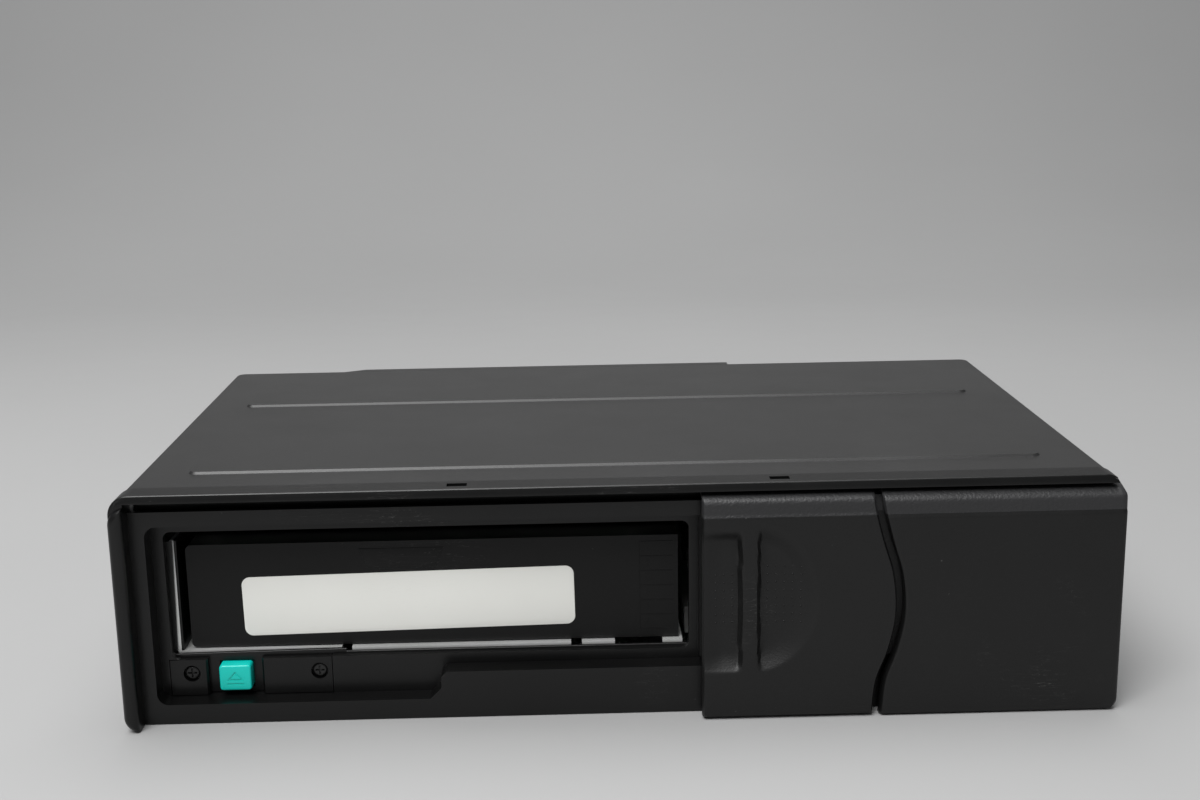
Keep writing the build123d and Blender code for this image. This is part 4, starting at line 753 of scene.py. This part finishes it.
# ------------------------------------------------------------ screws of the button plate
SCREWS_X = (-116.4, -81.9)
SCREW_Z = 11.8
HEAD_D = (12.55, 13.8)
HEAD_R = 2.0
CROSS_D = (12.0, 13.3)
CROSS_LONG = 1.25
CROSS_SHORT = 0.28
SHANK_D = (13.7, 16.5)
SHANK_R = 0.95
screws = []
for x in SCREWS_X:
    screw = rod("plate_screw", x, HEAD_D, SCREW_Z, HEAD_R, 40)
    round_off(screw, lambda edge: spot(edge)[1] < HEAD_D[0] + 0.05, 0.7, 5)
    for wide, tall in ((CROSS_LONG, CROSS_SHORT), (CROSS_SHORT, CROSS_LONG)):
        slit = cuboid("cross_slit", (x - wide, x + wide), CROSS_D, (SCREW_Z - tall, SCREW_Z + tall))
        carve(screw, slit)
    shank = rod("plate_screw_shank", x, SHANK_D, SCREW_Z, SHANK_R, 20)
    screws.append(join(screw, shank))
screws = join(*screws)
screws.name = "plate_screws"
smooth(screws, 40)
fit(screws, "housing", "screw_black", FINISHES["screw_black"], "button_plate_screws")

# ------------------------------------------------------------ small parts of the bezel
# ridge along the sill, in two parts: the left one rises to the joint
RIDGE_X = (-121.0, 18.2)
RIDGE_JOINT = -74.7
RIDGE_D = (14.0, 15.1)
RIDGE_LOW = 15.7
RIDGE_TOPS = (16.8, 16.5)
RIDGE_RISE = 0.45
left_ridge = cuboid("sill_ridge", (RIDGE_X[0], RIDGE_JOINT), RIDGE_D, (RIDGE_LOW, RIDGE_TOPS[0]))
reshape(left_ridge, lambda x, d, z: (x, d, z + (RIDGE_RISE if z > 16 and x > RIDGE_JOINT - 1 else 0)))
ridge = cuboid("sill_ridge", (RIDGE_JOINT, RIDGE_X[1]), RIDGE_D, (RIDGE_LOW, RIDGE_TOPS[1]))


def long_top_edge(edge):
    return spot(edge)[2] > RIDGE_TOPS[1] - 0.1 and abs(edge.verts[0].co.x - edge.verts[1].co.x) > 10 * MM


for strip_of_sill in (left_ridge, ridge):
    round_off(strip_of_sill, long_top_edge, 0.2, 3)
ridge = join(ridge, left_ridge)
ridge.name = "sill_ridge"
smooth(ridge, 40)
fit(ridge, "housing", "bezel_plastic", FINISHES["bezel_plastic"])

# dark floors under the two slots in the collar's top
SLOT_FLOOR_D = (4.2, 7.8)
SLOT_FLOOR_Z = (63.1, 64.1)
SLOT_MARGIN = 0.5
for count, (left, right) in enumerate(LATCH_SLOTS, 1):
    slot_x = (left - SLOT_MARGIN, right + SLOT_MARGIN)
    slot_floor = cuboid(f"latch_slot_floor_{count}", slot_x, SLOT_FLOOR_D, SLOT_FLOOR_Z)
    round_off(slot_floor, lambda edge: spot(edge)[2] < SLOT_FLOOR_Z[0] + 0.1, 0.2, 2)
    smooth(slot_floor, 40)
    fit(slot_floor, "housing", "bezel_plastic", FINISHES["bezel_plastic"])

# front of the collar: it slopes forward and down until just above the door and the right panel
EDGE_HALF = 130.4
EDGE_D = (1.45, 4.4)
EDGE_LEAN = 0.53
EDGE_Z = (62.75, 64.5)
CORNER_FROM = 127.0
CORNER_R = 5.5
CORNER_STEP = 0.95
collar_edge = cuboid("collar_edge", (-EDGE_HALF, EDGE_HALF), EDGE_D, EDGE_Z)
for step in range(4):
    for side in (-1, 1):
        cut_at(collar_edge, x=side * (CORNER_FROM + step * CORNER_STEP))


def low_front_edge(edge):
    _, d, z = spot(edge)
    return runs(edge, 0) and d < EDGE_D[0] + 0.1 and z < EDGE_Z[0] + 0.05


round_off(collar_edge, low_front_edge, 0.25, 2)


def turn_corner(x, d, z):
    """Leans the front back towards its top and follows the case's rounded corners."""
    over = max(abs(x) - CORNER_FROM, 0.0)
    fall = CORNER_R - sqrt(CORNER_R ** 2 - over ** 2)
    share = (z - EDGE_Z[0]) / (EDGE_Z[1] - EDGE_Z[0])
    lean = EDGE_LEAN * share if d < 2 else 0.0
    return x, d + lean, z - fall * share


reshape(collar_edge, turn_corner)
smooth(collar_edge, 40)
fit(collar_edge, "housing", "bezel_plastic", FINISHES["bezel_plastic"])

# painted shade: a black sheet over the cage's side wall beside the magazine, darkening it in place of shade,
# and the tapered edge in front of it
SHADE_SHEET_X = (-119.6, -118.9)
SHADE_SHEET_D = (15.6, 60.0)
SHADE_SHEET_Z = (17.15, 48.4)
TAPER_X = (-121.4, -119.8)
TAPER_D = (14.9, 15.3)
TAPER_STEP = 0.7
wall_shade_sheet = cuboid("mouth_wall_shade_sheet", SHADE_SHEET_X, SHADE_SHEET_D, SHADE_SHEET_Z)
round_off(wall_shade_sheet, lambda edge: spot(edge)[1] < SHADE_SHEET_D[0] + 0.1 and runs(edge, 2), 0.15, 2)
taper = cuboid("mouth_taper", TAPER_X, TAPER_D, SHADE_SHEET_Z)
reshape(taper, lambda x, d, z: (x - (TAPER_STEP if z < 20 and x > -120 else 0), d, z))
wall_shade_sheet = join(wall_shade_sheet, taper)
smooth(wall_shade_sheet, 40)
fit(wall_shade_sheet, "housing", "bezel_plastic", FINISHES["bezel_plastic"])

# ------------------------------------------------------------ floor, light and camera
# a sheet of paper that curves up into the backdrop; its wide size is in metres
PAPER_SIZE = 6
PAPER_SINK = 0.0002
PAPER_RISE = 3.0
BACKDROP_D = 1600.0
BACKDROP_CURVE = 900
lay_aside()
bpy.ops.mesh.primitive_plane_add(size=PAPER_SIZE, location=(0, 0, -PAPER_SINK))
floor = set_in_place("paper_floor")
pick(floor, "EDGE", lambda edge: spot(edge)[1] > 2000)
bpy.ops.mesh.extrude_region_move(TRANSFORM_OT_translate={"value": (0, 0, PAPER_RISE)})
put_down()
reshape(floor, lambda x, d, z: (x, min(d, BACKDROP_D), z))


def backdrop_foot(edge):
    _, d, z = spot(edge)
    return abs(d - BACKDROP_D) < 1 and abs(z) < 1 and runs(edge, 0)


round_off(floor, backdrop_foot, BACKDROP_CURVE, 24)
smooth(floor, 60)
floor.data.materials.clear()
floor.data.materials.append(finish("pale_paper", grey(0.29), grey(0.31), 0.8, 0.05, 300, 0.2, 0.00002,
                                   marks=0.0, patches=1.5))


def softbox(name, place, size, power):
    """A rectangular light that points at the middle of the part."""
    lamp = bpy.data.lights.new(name, "AREA")
    lamp.shape = "RECTANGLE"
    lamp.size, lamp.size_y = size
    lamp.energy = power
    obj = bpy.data.objects.new(name, lamp)
    bpy.context.scene.collection.objects.link(obj)
    obj.location = place
    obj.rotation_euler = (Vector((0, 0, 0.03)) - Vector(place)).to_track_quat("-Z", "Y").to_euler()


softbox("overhead_softbox", (-0.15, 0.10, 1.2), (1.5, 1.0), 17.0)
softbox("front_softbox", (-0.4, -0.9, 1.3), (0.9, 0.7), 27.0)

AIR_TONE = (0.85, 0.86, 0.87, 1)
AIR_STRENGTH = 0.24
world = bpy.data.worlds.new("studio_air")
bpy.context.scene.world = world
world.use_nodes = True
air = world.node_tree.nodes["Background"]
air.inputs["Color"].default_value = AIR_TONE
air.inputs["Strength"].default_value = AIR_STRENGTH

# camera fitted to the photograph: place, and turn to the right, down and about its own axis
CAMERA_AT = (-12.64, -388.24, 176.52)
YAW, PITCH, ROLL = 0.0202, 0.2236, -0.0167
FOCAL_PIXELS = 1566.2
PICTURE_WIDE = 1200
SENSOR_WIDE = 36
ahead = Vector((sin(YAW) * cos(PITCH), cos(YAW) * cos(PITCH), -sin(PITCH)))
right = Vector((cos(YAW), -sin(YAW), 0))
up = right.cross(ahead)
right, up = cos(ROLL) * right + sin(ROLL) * up, cos(ROLL) * up - sin(ROLL) * right
camera = bpy.data.objects.new("photo_camera", bpy.data.cameras.new("photo_camera"))
bpy.context.scene.collection.objects.link(camera)
camera.data.sensor_width = SENSOR_WIDE
camera.data.lens = FOCAL_PIXELS * SENSOR_WIDE / PICTURE_WIDE
camera.data.clip_start = 0.02
camera.data.clip_end = 20
camera.matrix_world = Matrix.Translation(at(*CAMERA_AT)) @ Matrix((right, up, -ahead)).transposed().to_4x4()
bpy.context.scene.camera = camera
bpy.context.scene.view_settings.view_transform = "Standard"
